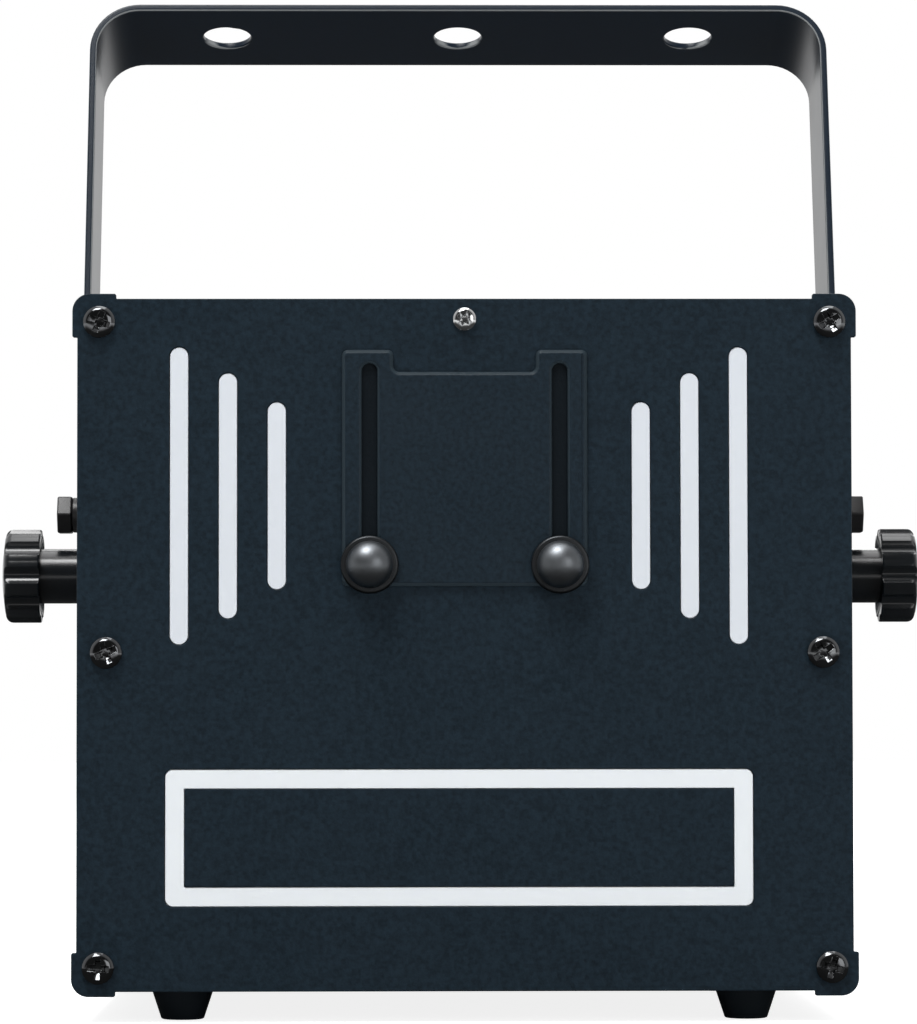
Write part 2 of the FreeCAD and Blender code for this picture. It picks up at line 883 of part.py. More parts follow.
def led_boards():
    """Light boards on the diffusers' pegs: one behind each set of slots and one behind the frame."""
    front = panel_back + diffuser_sheet + peg_length
    back = front + board_thickness
    solids = []
    for side in SIDES:
        x, width, height = slot_sheet(side)
        board = rectangle(x, slot_z, width - 2 * board_inset, height - 2 * board_inset)
        solids.append(prism("y", board, front, back))
    width, height = frame_sheet()
    board = rectangle(light_offset, frame_z, width - 2 * board_inset, height - 2 * board_inset)
    solids.append(prism("y", board, front, back))
    return solids


def led_chips():
    """Light chips on the front of the boards, in rows behind the slots and the frame."""
    back = panel_back + diffuser_sheet + peg_length
    front = back - led_height
    half = led_size / 2
    places = []
    for side in SIDES:
        for x, length in light_slots(side):
            count = int(length // led_pitch)
            start = slot_z - (count - 1) * led_pitch / 2
            places += [(x, start + index * led_pitch) for index in range(count)]
    drop = (frame_height - frame_band) / 2
    start = light_offset - (frame_led_count - 1) * frame_led_pitch / 2
    for side in SIDES:
        z = frame_z + side * drop
        places += [(start + index * frame_led_pitch, z) for index in range(frame_led_count)]
    return [block(x - half, x + half, front, back, z - half, z + half) for x, z in places]


def aperture_glass():
    """Clear window behind the beam opening."""
    width, height = aperture_width + 2 * glass_lap, aperture_height + 2 * glass_lap
    return prism("y", rectangle(0, aperture_z, width, height), panel_back, panel_back + glass_thickness)


def glass_retainer():
    """Pressed frame that holds the window against the panel."""
    width = aperture_width + 2 * glass_lap + 2 * fit_gap
    height = aperture_height + 2 * glass_lap + 2 * fit_gap
    back = panel_back + glass_thickness + retainer_sheet
    body = prism("y", rectangle(0, aperture_z, width + 2 * retainer_rim, height + 2 * retainer_rim,
                                retainer_rim), panel_back, back)
    pocket = prism("y", rectangle(0, aperture_z, width, height), panel_back - overrun,
                   panel_back + glass_thickness)
    window = prism("y", rectangle(0, aperture_z, aperture_width, aperture_height, aperture_radius),
                   panel_back, back + overrun)
    return body.cut([pocket, window])


def shutter_nuts():
    """Pressed nuts behind the panel that the thumbscrews screw into."""
    bore = thumb_shank_diameter + 2 * seat_gap
    return [
        ring("y", side * shutter_slot_distance, thumb_z, shutter_nut_diameter, bore,
             panel_back, panel_back + shutter_nut_length)
        for side in SIDES
    ]


def shutter_plate():
    """Sliding plate with two ears, a shallow notch between them and two slots, all bevelled in front."""
    back = panel_front - slide_gap
    front = back - shutter_thickness
    half = shutter_width / 2
    top = shutter_bottom + shutter_height
    inner = half - shutter_ear_width
    notch = top - shutter_notch_depth
    corner, bend = shutter_corner_radius, shutter_notch_radius
    body = prism("y", [
        (-half, shutter_bottom, corner),
        (half, shutter_bottom, corner),
        (half, top, corner),
        (inner, top, bend),
        (inner, notch, bend),
        (-inner, notch, bend),
        (-inner, top, bend),
        (-half, top, corner),
    ], front, back)
    rim = [edge for face in body.Faces if abs(face.CenterOfMass.y - front) < point_tolerance
           for edge in face.Edges]
    body = body.makeChamfer(shutter_edge_chamfer, rim)
    middle = shutter_bottom + shutter_height / 2
    cuts = [
        prism("y", slot(side * shutter_slot_distance, middle, shutter_slot_width, shutter_slot_length),
              front - overrun, back + overrun)
        for side in SIDES
    ]
    body = body.cut(cuts)
    face = next(face for face in body.Faces if abs(face.CenterOfMass.y - front) < point_tolerance)
    brims = [edge for wire in face.Wires if not wire.isSame(face.OuterWire) for edge in wire.Edges]
    return body.makeChamfer(shutter_slot_chamfer, brims)


def thumbscrew(side):
    """Domed thumbscrew with a flange that clamps the shutter plate."""
    flange_top = thumb_seat - thumb_flange_height
    neck_top = flange_top - thumb_neck_height
    dome_top = neck_top - thumb_dome_height
    dome_radius = thumb_dome_share * min(thumb_dome_height, thumb_dome_diameter / 2)
    tip = panel_front + thumb_thread_length
    return turned("y", side * shutter_slot_distance, thumb_z, [
        (0, tip, 0),
        (thumb_shank_diameter / 2, tip, 0),
        (thumb_shank_diameter / 2, thumb_seat, 0),
        (thumb_flange_diameter / 2, thumb_seat, 0),
        (thumb_flange_diameter / 2, flange_top, thumb_edge_radius),
        (thumb_neck_diameter / 2, flange_top, 0),
        (thumb_neck_diameter / 2, neck_top, 0),
        (thumb_dome_diameter / 2, neck_top, 0),
        (thumb_dome_diameter / 2, dome_top, dome_radius),
        (0, dome_top, 0),
    ])


def rubber_feet():
    """Tapered feet with a recess for their screw."""
    recess_top = foot_recess_depth
    feet = []
    for x, y in foot_places():
        foot = turned("z", x, y, [
            (0, 0, 0),
            (foot_bottom_diameter / 2, 0, foot_edge_radius),
            (foot_top_diameter / 2, box_bottom, 0),
            (0, box_bottom, 0),
        ])
        recess = rod("z", x, y, foot_recess_diameter, -overrun, recess_top)
        hole = rod("z", x, y, foot_screw_diameter + 2 * seat_gap, 0, box_bottom + overrun)
        feet.append(foot.cut([recess, hole]))
    return feet


def foot_screws():
    """Screws that hold the feet, sunk in their recesses."""
    head = (foot_screw_head_diameter, foot_screw_head_height)
    shank = (foot_screw_diameter, foot_height - foot_recess_depth + tray_wall + foot_screw_reach)
    return [pan_screw("z", x, y, foot_recess_depth, -1, head, shank) for x, y in foot_places()]


def friction_washers():
    """Rubber washers between the cover's sides and the yoke."""
    bore = pivot_stud_diameter + 2 * pivot_hole_clearance
    solids = []
    for side in SIDES:
        low, high = sorted((side * half_width, side * (half_width + washer_thickness)))
        solids.append(ring("x", pivot_y, pivot_z, washer_diameter, bore, low, high))
    return solids


def pivot_nut_plates():
    """Steel plates inside the cover's sides, with the nut of the pivot and the thread of the limit bolt."""
    low = pivot_z - pivot_nut_margin
    high = limit_z + pivot_nut_margin
    inner = inside_half - pivot_nut_plate_sheet
    tail = inner - pivot_nut_height
    solids = []
    for side in SIDES:
        ends = sorted((side * inner, side * inside_half))
        plate = prism("x", rectangle(pivot_y, (low + high) / 2, pivot_nut_plate_width, high - low,
                                     cover_bend_radius), *ends)
        nut = prism("x", hexagon(pivot_y, pivot_z, pivot_nut_flats, 0), *sorted((side * tail, side * inner)))
        cuts = [
            rod("x", pivot_y, pivot_z, pivot_stud_diameter + 2 * seat_gap, -half_width, half_width),
            rod("x", pivot_y, limit_z, limit_bolt_diameter + 2 * seat_gap, -half_width, half_width),
        ]
        solids.append(joined([plate, nut]).cut(cuts))
    return solids


def limit_washers():
    """Spacer inside and washer outside the yoke at each limit bolt."""
    bore = limit_bolt_diameter + 2 * screw_hole_clearance
    outer = yoke_outside + slide_gap
    spans = ((half_width, half_width + washer_thickness), (outer, outer + limit_washer_thickness))
    solids = []
    for side in SIDES:
        for start, end in spans:
            low, high = sorted((side * start, side * end))
            solids.append(ring("x", pivot_y, limit_z, limit_washer_diameter, bore, low, high))
    return solids


def limit_bolts():
    """Hex-head bolts that stand in the yoke's curved slots and limit its tilt."""
    seat = yoke_outside + slide_gap + limit_washer_thickness
    tip = inside_half - pivot_nut_plate_sheet - stud_tail
    solids = []
    for side in SIDES:
        head = prism("x", hexagon(pivot_y, limit_z, limit_bolt_flats, 0),
                     *sorted((side * seat, side * (seat + limit_bolt_head_height))))
        shank = rod("x", pivot_y, limit_z, limit_bolt_diameter, *sorted((side * tip, side * seat)))
        solids.append(joined([head, shank]))
    return solids


def tilt_limit_bolts():
    """Limit bolts with their spacers and washers."""
    return limit_bolts() + limit_washers()


def tilt_slot(radius, width, half_angle, low, high):
    """Curved slot about the pivot, from low to high along X."""
    def place(distance, degrees):
        angle = math.radians(degrees)
        return FreeCAD.Vector(low, pivot_y - distance * math.sin(angle), pivot_z + distance * math.cos(angle))

    outer, inner = radius + width / 2, radius - width / 2
    end_bow = math.degrees(width / 2 / radius)
    arcs = [
        Part.Arc(place(outer, -half_angle), place(outer, 0), place(outer, half_angle)),
        Part.Arc(place(outer, half_angle), place(radius, half_angle + end_bow), place(inner, half_angle)),
        Part.Arc(place(inner, half_angle), place(inner, 0), place(inner, -half_angle)),
        Part.Arc(place(inner, -half_angle), place(radius, -half_angle - end_bow), place(outer, -half_angle)),
    ]
    face = Part.Face(Part.Wire([arc.toShape() for arc in arcs]))
    return sound(face.extrude(AXES["x"] * (high - low)))


def yoke_bracket():
    """Flat bar bent into a yoke, with round ends, pivot holes, curved limit slots and three strap holes."""
    top = pivot_z + yoke_reach
    foot = pivot_z - yoke_bar_width / 2
    front, back = pivot_y - yoke_bar_width / 2, pivot_y + yoke_bar_width / 2
    inner_radius = yoke_bend_radius - yoke_sheet
    bent = prism("y", [
        (-yoke_outside, foot, 0),
        (-yoke_outside, top, yoke_bend_radius),
        (yoke_outside, top, yoke_bend_radius),
        (yoke_outside, foot, 0),
        (yoke_inside, foot, 0),
        (yoke_inside, top - yoke_sheet, inner_radius),
        (-yoke_inside, top - yoke_sheet, inner_radius),
        (-yoke_inside, foot, 0),
    ], front, back)
    end_radius = yoke_bar_width / 2
    side_shape = prism("x", [
        (front, foot, end_radius),
        (back, foot, end_radius),
        (back, top + overrun, 0),
        (front, top + overrun, 0),
    ], -yoke_outside - overrun, yoke_outside + overrun)
    low, high = -yoke_outside - overrun, yoke_outside + overrun
    cuts = [rod("x", pivot_y, pivot_z, pivot_stud_diameter + 2 * pivot_hole_clearance, low, high)]
    slot_width_here = limit_bolt_diameter + 2 * limit_slot_clearance
    cuts.append(tilt_slot(limit_bolt_distance, slot_width_here, limit_half_angle, low, high))
    strap_low = top - yoke_sheet - overrun
    cuts += [rod("z", step * yoke_hole_spacing, pivot_y, yoke_hole_diameter, strap_low, top + overrun)
             for step in (-1, 0, 1)]
    bar = bent.common(side_shape).cut(cuts)
    bar.rotate(FreeCAD.Vector(0, pivot_y, pivot_z), AXES["x"], -yoke_rest_tilt)
    return bar


def knob(side):
    """Fluted clamp knob, dished on the hub side, on its threaded stud."""
    start = yoke_outside + slide_gap
    shoulder = start + knob_hub_length
    end = shoulder + knob_head_length
    rim = knob_head_diameter / 2
    body = turned("x", pivot_y, pivot_z, [
        (0, side * start, 0),
        (knob_hub_diameter / 2, side * start, 0),
        (knob_hub_diameter / 2, side * (shoulder + knob_dish_depth), 0),
        (rim, side * shoulder, knob_rim_radius),
        (rim, side * (end - knob_crown), knob_edge_radius),
        (0, side * end, 0),
    ])
    distance = rim + knob_flute_radius - knob_flute_depth
    flutes = []
    for index in range(knob_flute_count):
        angle = 2 * math.pi * (index + 1 / 2) / knob_flute_count
        y, z = pivot_y + distance * math.cos(angle), pivot_z + distance * math.sin(angle)
        span = sorted((side * (shoulder - overrun), side * (end + overrun)))
        flutes.append(rod("x", y, z, 2 * knob_flute_radius, *span))
    socket_end = start + knob_socket_depth
    socket = rod("x", pivot_y, pivot_z, pivot_stud_diameter + 2 * seat_gap,
                 *sorted((side * (start - overrun), side * socket_end)))
    stud = rod("x", pivot_y, pivot_z, pivot_stud_diameter, *sorted((side * stud_end, side * socket_end)))
    return [body.cut(flutes + [socket]), stud]


def standoff_places():
    """Centres of the four posts under the optical plate."""
    x = plate_half_width - standoff_inset
    ends = (plate_front + standoff_inset, plate_back - standoff_inset)
    return [(side * x, y) for side in SIDES for y in ends]


def optical_plate():
    """Thick plate that carries the laser block and the scanner."""
    middle = (plate_front + plate_back) / 2
    corners = rectangle(0, middle, 2 * plate_half_width, plate_back - plate_front, standoff_inset / 2)
    return prism("z", corners, plate_bottom, plate_top)


def plate_standoffs():
    """Posts between the tray and the optical plate."""
    return [rod("z", x, y, standoff_diameter, tray_top, plate_bottom) for x, y in standoff_places()]


def galvo_mount():
    """Machined base with a clamp ring block for each scanner motor."""
    bore = galvo_diameter + 2 * seat_gap
    half = galvo_diameter / 2 + galvo_clamp_wall
    start = galvo_nose + galvo_clamp_lead
    end = start + galvo_clamp_length
    base_top = plate_top + galvo_base_sheet
    base = block(-half, end, scan_y - half, scan_y + end, plate_top, base_top)
    base = base.cut(block(half, end + overrun, scan_y + half, scan_y + end + overrun,
                          plate_top - overrun, base_top + overrun))
    x_block = block(-half, half, scan_y + start, scan_y + end, plate_top, beam_z + half)
    y_block = block(start, end, scan_y - half, scan_y + half, plate_top, aperture_z + half)
    cuts = [
        rod("y", 0, beam_z, bore, scan_y, scan_y + end + overrun),
        rod("x", scan_y, aperture_z, bore, 0, end + overrun),
    ]
    return joined([base, x_block, y_block]).cut(cuts)


def galvo_motors():
    """Scanner motors: the lower one lies along Y, the upper one along X."""
    end = galvo_nose + galvo_length
    bore = galvo_shaft_diameter + 2 * seat_gap
    depth = galvo_nose + galvo_shaft_bore_depth
    solids = []
    for axis, u, v, start in (("y", 0, beam_z, scan_y), ("x", scan_y, aperture_z, 0)):
        body = rod(axis, u, v, galvo_diameter, start + galvo_nose, start + end)
        cap = rod(axis, u, v, galvo_cap_diameter, start + end, start + end + galvo_cap_length)
        hole = rod(axis, u, v, bore, start, start + depth)
        solids.append(joined([body, cap]).cut(hole))
    return solids


def scan_mirror(axis, centre, length, width, turn):
    """Mirror on its shaft: a thin plate along the axis, turned about it by that angle."""
    u, v, along = centre
    end = along + galvo_nose + galvo_shaft_bore_depth - stud_tail
    hub_start = along + length / 2
    sheet = rectangle(u, v, width, scan_mirror_sheet)
    plate = prism(axis, sheet, along - length / 2, hub_start)
    plate.rotate(spot(axis, u, v, along), AXES[axis], turn)
    hub = rod(axis, u, v, scan_hub_diameter, hub_start, hub_start + scan_hub_length)
    shaft = rod(axis, u, v, galvo_shaft_diameter, hub_start, end)
    return joined([plate, hub, shaft])


def galvo_x_mirror():
    """Lower mirror: it turns about Y and sends the beam up."""
    return scan_mirror("y", (0, beam_z, scan_y), scan_mirror_x_length, scan_mirror_x_width, scan_angle)


def galvo_y_mirror():
    """Upper mirror: it turns about X and sends the beam out through the window."""
    return scan_mirror("x", (scan_y, aperture_z, 0), scan_mirror_y_length, scan_mirror_y_width, -scan_angle)


def diode_places():
    """Centres along X of the laser barrels."""
    return [-diode_first_distance - index * diode_pitch for index in range(diode_count)]


def laser_block_span():
    """Low and high X, and low and high Y, of the block round the laser barrels."""
    places = diode_places()
    reach = diode_diameter / 2 + laser_block_wall
    front = scan_y + diode_setback_from_beam + diode_nose
    return min(places) - reach, max(places) + reach, front, front + laser_block_length


def laser_block():
    """Block that holds the laser barrels."""
    left, right, front, back = laser_block_span()
    body = block(left, right, front, back, plate_top, beam_z + diode_diameter / 2 + laser_block_top_wall)
    bore = diode_diameter + 2 * seat_gap
    return body.cut([rod("y", x, beam_z, bore, front - overrun, back + overrun) for x in diode_places()])


def laser_diodes():
    """Laser barrels with a lens recess in their front end."""
    front = scan_y + diode_setback_from_beam
    back = laser_block_span()[3]
    solids = []
    for x in diode_places():
        barrel = rod("y", x, beam_z, diode_diameter, front, back)
        solids.append(barrel.cut(rod("y", x, beam_z, diode_lens_diameter, front - overrun,
                                     front + diode_lens_depth)))
    return solids


def laser_heatsink():
    """Finned heatsink against the back of the laser block."""
    left, right, back = laser_block_span()[:2] + laser_block_span()[3:]
    end = back + heatsink_length
    top = plate_top + heatsink_height
    pieces = [block(left, right, back, back + heatsink_base, plate_top, top)]
    step = (right - left - heatsink_fin_sheet) / (heatsink_fin_count - 1)
    for index in range(heatsink_fin_count):
        x = left + index * step
        pieces.append(block(x, x + heatsink_fin_sheet, back + heatsink_base, end, plate_top, top))
    return joined(pieces)


def dichroic_corner(x, along, behind):
    """Point along and behind a mirror that stands at 45 degrees in the beam at x."""
    cosine = math.sqrt(1 / 2)
    return x + (along - behind) * cosine, scan_y - (along + behind) * cosine


def dichroic_holders():
    """Wedges that hold the beam-joining mirrors, each with a window for the beam."""
    top = beam_z + dichroic_top
    half = dichroic_width / 2
    solids = []
    for x in diode_places():
        corners = [
            dichroic_corner(x, -half, dichroic_sheet),
            dichroic_corner(x, half, dichroic_sheet),
            dichroic_corner(x, 0, dichroic_sheet + half),
        ]
        wedge = prism("z", [(u, v, 0) for u, v in corners], plate_top, top)
        solids.append(wedge.cut(rod("x", scan_y, beam_z, dichroic_window, x - dichroic_width,
                                    x + dichroic_width)))
    return solids


def dichroic_mirrors():
    """Thin coated glass plates on the wedges."""
    half = dichroic_width / 2
    solids = []
    for x in diode_places():
        corners = [
            dichroic_corner(x, -half, 0),
            dichroic_corner(x, half, 0),
            dichroic_corner(x, half, dichroic_sheet),
            dichroic_corner(x, -half, dichroic_sheet),
        ]
        solids.append(prism("z", [(u, v, 0) for u, v in corners], beam_z - half, beam_z + half))
    return solids


def power_supply():
    """Supply in a slotted sheet case, with its terminal block at the back."""
    left, right = supply_left, supply_left + supply_width
    front = panel_front + supply_setback
    back = front + supply_length
    top = tray_top + supply_height
    case = block(left, right, front, back, tray_top, top)
    case = case.cut(block(left + supply_sheet, right - supply_sheet, front + supply_sheet,
                          back - supply_sheet, tray_top + supply_sheet, top - supply_sheet))
    middle_x, middle_y = (left + right) / 2, (front + back) / 2
    cuts = []
    for index in range(supply_vent_count):
        y = middle_y + (index - (supply_vent_count - 1) / 2) * supply_vent_pitch
        corners = rectangle(middle_x, y, supply_width * supply_vent_share, supply_vent_width,
                            supply_vent_width / 2)
        cuts.append(prism("z", corners, top - supply_sheet - overrun, top + overrun))
    terminals = block(left + supply_sheet, right - supply_sheet, back, back + supply_terminal_length,
                      tray_top, tray_top + supply_terminal_height)
    return [case.cut(cuts), terminals]


def galvo_driver_board():
    """Scanner driver on posts, with its capacitors and a heat spreader."""
    left, right = driver_left, driver_left + driver_width
    front = panel_front + driver_setback
    back = front + driver_length
    low = tray_top + driver_post_height
    high = low + board_thickness
    solids = [block(left, right, front, back, low, high)]
    for x in (left + driver_post_inset, right - driver_post_inset):
        for y in (front + driver_post_inset, back - driver_post_inset):
            solids.append(rod("z", x, y, driver_post_diameter, tray_top, low))
    solids.append(block(left, right, back - driver_sink_sheet, back, high, high + driver_sink_height))
    middle = (left + right) / 2
    for index in range(driver_can_count):
        x = middle + (index - (driver_can_count - 1) / 2) * driver_can_pitch
        solids.append(rod("z", x, front + driver_can_diameter, driver_can_diameter, high,
                          high + driver_can_height))
    return solids


def fan_hole_places():
    """Centres of the fan's corner holes."""
    half = fan_hole_spacing / 2
    return [(fan_x + a * half, fan_z + b * half) for a in SIDES for b in SIDES]


def fan_frame():
    """Square fan frame with its bore, motor plate, struts and the rotor's post."""
    front = rear_inside - fan_thickness
    plate_end = front + fan_hub_plate
    body = prism("y", rectangle(fan_x, fan_z, fan_size, fan_size, fan_corner_radius), front, rear_inside)
    body = body.cut(rod("y", fan_x, fan_z, fan_bore_diameter, front - overrun, rear_inside + overrun))
    hole = fan_screw_diameter + 2 * seat_gap
    body = body.cut([rod("y", x, v, hole, front - overrun, rear_inside + overrun)
                     for x, v in fan_hole_places()])
    reach = (fan_bore_diameter + fan_size) / 4
    strut_half = fan_strut_width / 2
    pieces = [body, rod("y", fan_x, fan_z, fan_hub_diameter, front, plate_end)]
    for index in range(fan_strut_count):
        strut = block(fan_x, fan_x + reach, front, plate_end, fan_z - strut_half, fan_z + strut_half)
        strut.rotate(spot("y", fan_x, fan_z, front), AXES["y"], 360 * index / fan_strut_count)
        pieces.append(strut)
    pieces.append(rod("y", fan_x, fan_z, fan_post_diameter, plate_end, rear_inside - 3 * fan_rotor_inset))
    return joined(pieces)


def fan_blade(root, tip, low, high):
    """One twisted blade between two radii."""
    sections = []
    for radius, pitch in ((root, fan_blade_root_pitch), (tip, fan_blade_tip_pitch)):
        angle = math.radians(pitch)
        chord = (high - low) * fan_blade_share
        along = FreeCAD.Vector(0, math.sin(angle), math.cos(angle)) * (chord / 2)
        across = FreeCAD.Vector(0, math.cos(angle), -math.sin(angle)) * (fan_blade_sheet / 2)
        centre = FreeCAD.Vector(fan_x + radius, (low + high) / 2, fan_z)
        corners = [centre + along + across, centre + along - across,
                   centre - along - across, centre - along + across]
        sections.append(Part.makePolygon(corners + corners[:1]))
    return sound(Part.makeLoft(sections, True, True))


def fan_rotor():
    """Rotor hub on its post, with twisted blades."""
    low = rear_inside - fan_thickness + fan_hub_plate + slide_gap
    high = rear_inside - fan_rotor_inset
    hub = turned("y", fan_x, fan_z, [
        (0, low, 0),
        (fan_hub_diameter / 2, low, 0),
        (fan_hub_diameter / 2, high, fan_rotor_inset),
        (0, high, 0),
    ])
    root = fan_hub_diameter / 2 - fan_blade_sheet
    tip = fan_bore_diameter / 2 - fan_tip_gap
    pieces = [hub]
    for index in range(fan_blade_count):
        blade = fan_blade(root, tip, low, high)
        blade.rotate(spot("y", fan_x, fan_z, low), AXES["y"], 360 * index / fan_blade_count)
        pieces.append(blade)
    post = rod("y", fan_x, fan_z, fan_post_diameter + 2 * seat_gap, low - overrun,
               rear_inside - 2 * fan_rotor_inset)
    return joined(pieces).cut(post)


def fan_guard():
    """Wire guard: rings on four legs, each leg ending in a loop round a fan screw."""
    leg_y = rear_face + guard_wire / 2
    ring_y = leg_y + guard_wire * guard_weld_share
    corner = math.hypot(fan_hole_spacing, fan_hole_spacing) / 2
    pieces = []
    for index in range(guard_ring_count):
        radius = (index + 1) * guard_ring_pitch
        pieces.append(Part.makeTorus(radius, guard_wire / 2, spot("y", fan_x, fan_z, ring_y), AXES["y"]))
    for index in range(len(fan_hole_places())):
        leg = rod("x", leg_y, fan_z, guard_wire, fan_x + guard_ring_pitch, fan_x + corner - guard_loop_radius)
        leg.rotate(spot("y", fan_x, fan_z, leg_y), AXES["y"], 360 * (index + 1 / 2) / len(fan_hole_places()))
        pieces.append(leg)
    for x, v in fan_hole_places():
        pieces.append(Part.makeTorus(guard_loop_radius, guard_wire / 2, spot("y", x, v, leg_y), AXES["y"]))
    return joined(pieces)


def fan_screws():
    """Screws through the guard's loops and the rear panel into the fan frame."""
    head = (fan_screw_head_diameter, fan_screw_head_height)
    shank = (fan_screw_diameter, guard_wire + rear_thickness + fan_thickness / 2)
    return [pan_screw("y", x, z, rear_face + guard_wire, 1, head, shank) for x, z in fan_hole_places()]


def case_screws():
    """Small screws of the rear panel, the cover's sides and the fan."""
    return rear_panel_screws() + cover_screws() + fan_screws()


def inlet_cavity():
    """Corners of the power inlet's mouth, with two corners cut off."""
    left, right = inlet_x - inlet_cavity_width / 2, inlet_x + inlet_cavity_width / 2
    low, high = inlet_z - inlet_cavity_height / 2, inlet_z + inlet_cavity_height / 2
    cut = inlet_cavity_chamfer
    return [
        (left, low, 0),
        (right, low, 0),
        (right, high - cut, 0),
        (right - cut, high, 0),
        (left + cut, high, 0),
        (left, high - cut, 0),
    ]


def power_inlet():
    """Moulded power inlet: a flange, a body behind the panel and a shaped mouth."""
    face = rear_face + inlet_flange_sheet
    corners = rectangle(inlet_x, inlet_z, inlet_flange_width, inlet_flange_height, inlet_flange_radius)
    flange = prism("y", corners, rear_face, face)
    section = rectangle(inlet_x, inlet_z, inlet_body_width, inlet_body_height)
    body = prism("y", section, face - inlet_depth, rear_face)
    mouth = prism("y", inlet_cavity(), face - inlet_cavity_depth, face + overrun)
    holes = [rod("y", inlet_x + side * inlet_screw_spacing / 2, inlet_z, small_screw_diameter,
                 rear_face - overrun, face + overrun) for side in SIDES]
    return joined([flange, body]).cut([mouth] + holes)


def inlet_pins():
    """Three flat contact pins standing in the inlet's mouth."""
    face = rear_face + inlet_flange_sheet
    low, high = face - inlet_cavity_depth, face - inlet_pin_tip_depth
    places = ((-inlet_pin_spread, -inlet_pin_drop), (0, inlet_pin_drop), (inlet_pin_spread, -inlet_pin_drop))
    return [
        prism("y", rectangle(inlet_x + dx, inlet_z + dz, inlet_pin_sheet, inlet_pin_width), low, high)
        for dx, dz in places
    ]


def rocker_case_size():
    """Outer width and height of the rocker switch's case behind the panel."""
    width = rocker_width + 2 * rocker_side_gap + 2 * rocker_case_wall
    height = 2 * (rocker_half_height + rocker_swing_room) + 2 * rocker_case_wall
    return width, height


def rocker_frame():
    """Switch case with a bezel, the well that the rocker tips in and its two pivot dimples."""
    width, height = rocker_case_size()
    front = rear_face + rocker_bezel_sheet
    back = front - rocker_case_depth
    bezel = prism("y", rectangle(rocker_x, rocker_z, width + rocker_rim, height + rocker_rim, rocker_rim / 2),
                  rear_face, front)
    case = prism("y", rectangle(rocker_x, rocker_z, width, height), back, rear_face)
    well = prism("y", rectangle(rocker_x, rocker_z, width - 2 * rocker_case_wall,
                                height - 2 * rocker_case_wall), back + rocker_case_wall, front + overrun)
    reach = rocker_width / 2 + rocker_side_gap + rocker_pin_sink
    dimple = rod("x", rocker_y, rocker_z, rocker_pin_diameter + 2 * seat_gap, rocker_x - reach,
                 rocker_x + reach)
    return joined([bezel, case]).cut([well, dimple])


def rocker():
    """Tipping switch cap with a hollow front, stored with its lower half pressed."""
    rise = rocker_half_height * math.tan(math.radians(rocker_angle))
    foot = rocker_half_height * rocker_back_share
    half = rocker_width / 2
    cap = prism("x", [
        (rocker_y - rocker_back, rocker_z - foot, 0),
        (rocker_y - rocker_back, rocker_z + foot, 0),
        (rocker_y, rocker_z + rocker_half_height, 0),
        (rocker_y + rocker_front + rise, rocker_z + rocker_half_height, 0),
        (rocker_y + rocker_front, rocker_z, 0),
        (rocker_y + rocker_front + rise, rocker_z - rocker_half_height, 0),
        (rocker_y, rocker_z - rocker_half_height, 0),
    ], rocker_x - half, rocker_x + half)
    reach = half + rocker_side_gap + rocker_pin_sink - slide_gap
    pin = rod("x", rocker_y, rocker_z, rocker_pin_diameter, rocker_x - reach, rocker_x + reach)
    cap = joined([cap, pin])
    cap.rotate(FreeCAD.Vector(0, rocker_y, rocker_z), AXES["x"], -rocker_angle)
    return cap


def dmx_socket(x):
    """Round control socket: a flange and a barrel with an open mouth."""
    face = rear_face + dmx_flange_sheet
    flange = prism("y", rectangle(x, dmx_z, dmx_flange_width, dmx_flange_height, dmx_flange_radius),
                   rear_face, face)
    barrel = rod("y", x, dmx_z, dmx_barrel_diameter, face - dmx_depth, rear_face)
    cuts = [rod("y", x + side * dmx_screw_x, dmx_z + side * dmx_screw_z, small_screw_diameter,
                rear_face - overrun, face + overrun) for side in SIDES]
    cuts.append(rod("y", x, dmx_z, dmx_mouth_diameter, face - dmx_mouth_depth, face + overrun))
    return joined([flange, barrel]).cut(cuts)


def dmx_pin_places(x):
    """Centres of the three contacts of a round control socket."""
    radius = dmx_pin_circle / 2
    angles = [math.radians(degrees) for degrees in (0, 180, 270)]
    return [(x + radius * math.cos(angle), dmx_z + radius * math.sin(angle)) for angle in angles]


def dmx_in_socket():
    """Control input, whose mouth takes pins."""
    return dmx_socket(dmx_x[0])


def dmx_in_pins():
    """Contact pins of the control input."""
    low = rear_face + dmx_flange_sheet - dmx_mouth_depth
    return [rod("y", x, z, dmx_pin_diameter, low, low + dmx_pin_length) for x, z in dmx_pin_places(dmx_x[0])]


def socket_pins():
    """Contact pins of the power inlet and the control input."""
    return inlet_pins() + dmx_in_pins()


def dmx_out_socket():
    """Control output, whose mouth takes an insert."""
    return dmx_socket(dmx_x[1])


def dmx_out_insert():
    """Insert that stands in the control output's mouth, with three contact holes."""
    x = dmx_x[1]
    face = rear_face + dmx_flange_sheet
    body = rod("y", x, dmx_z, dmx_insert_diameter, face - dmx_mouth_depth, face)
    return body.cut([rod("y", u, v, dmx_hole_diameter, face - dmx_hole_depth, face + overrun)
                     for u, v in dmx_pin_places(x)])


def ilda_outline(growth):
    """Corners of the D-shaped shell of the laser control connector, grown all round."""
    half_x, half_z = ilda_shell_width / 2 + growth, ilda_shell_height / 2 + growth
    low, high = ilda_z - half_z, ilda_z + half_z
    return [
        (ilda_x - half_x + ilda_shell_slant, low, ilda_shell_radius),
        (ilda_x + half_x - ilda_shell_slant, low, ilda_shell_radius),
        (ilda_x + half_x, high, ilda_shell_radius),
        (ilda_x - half_x, high, ilda_shell_radius),
    ]


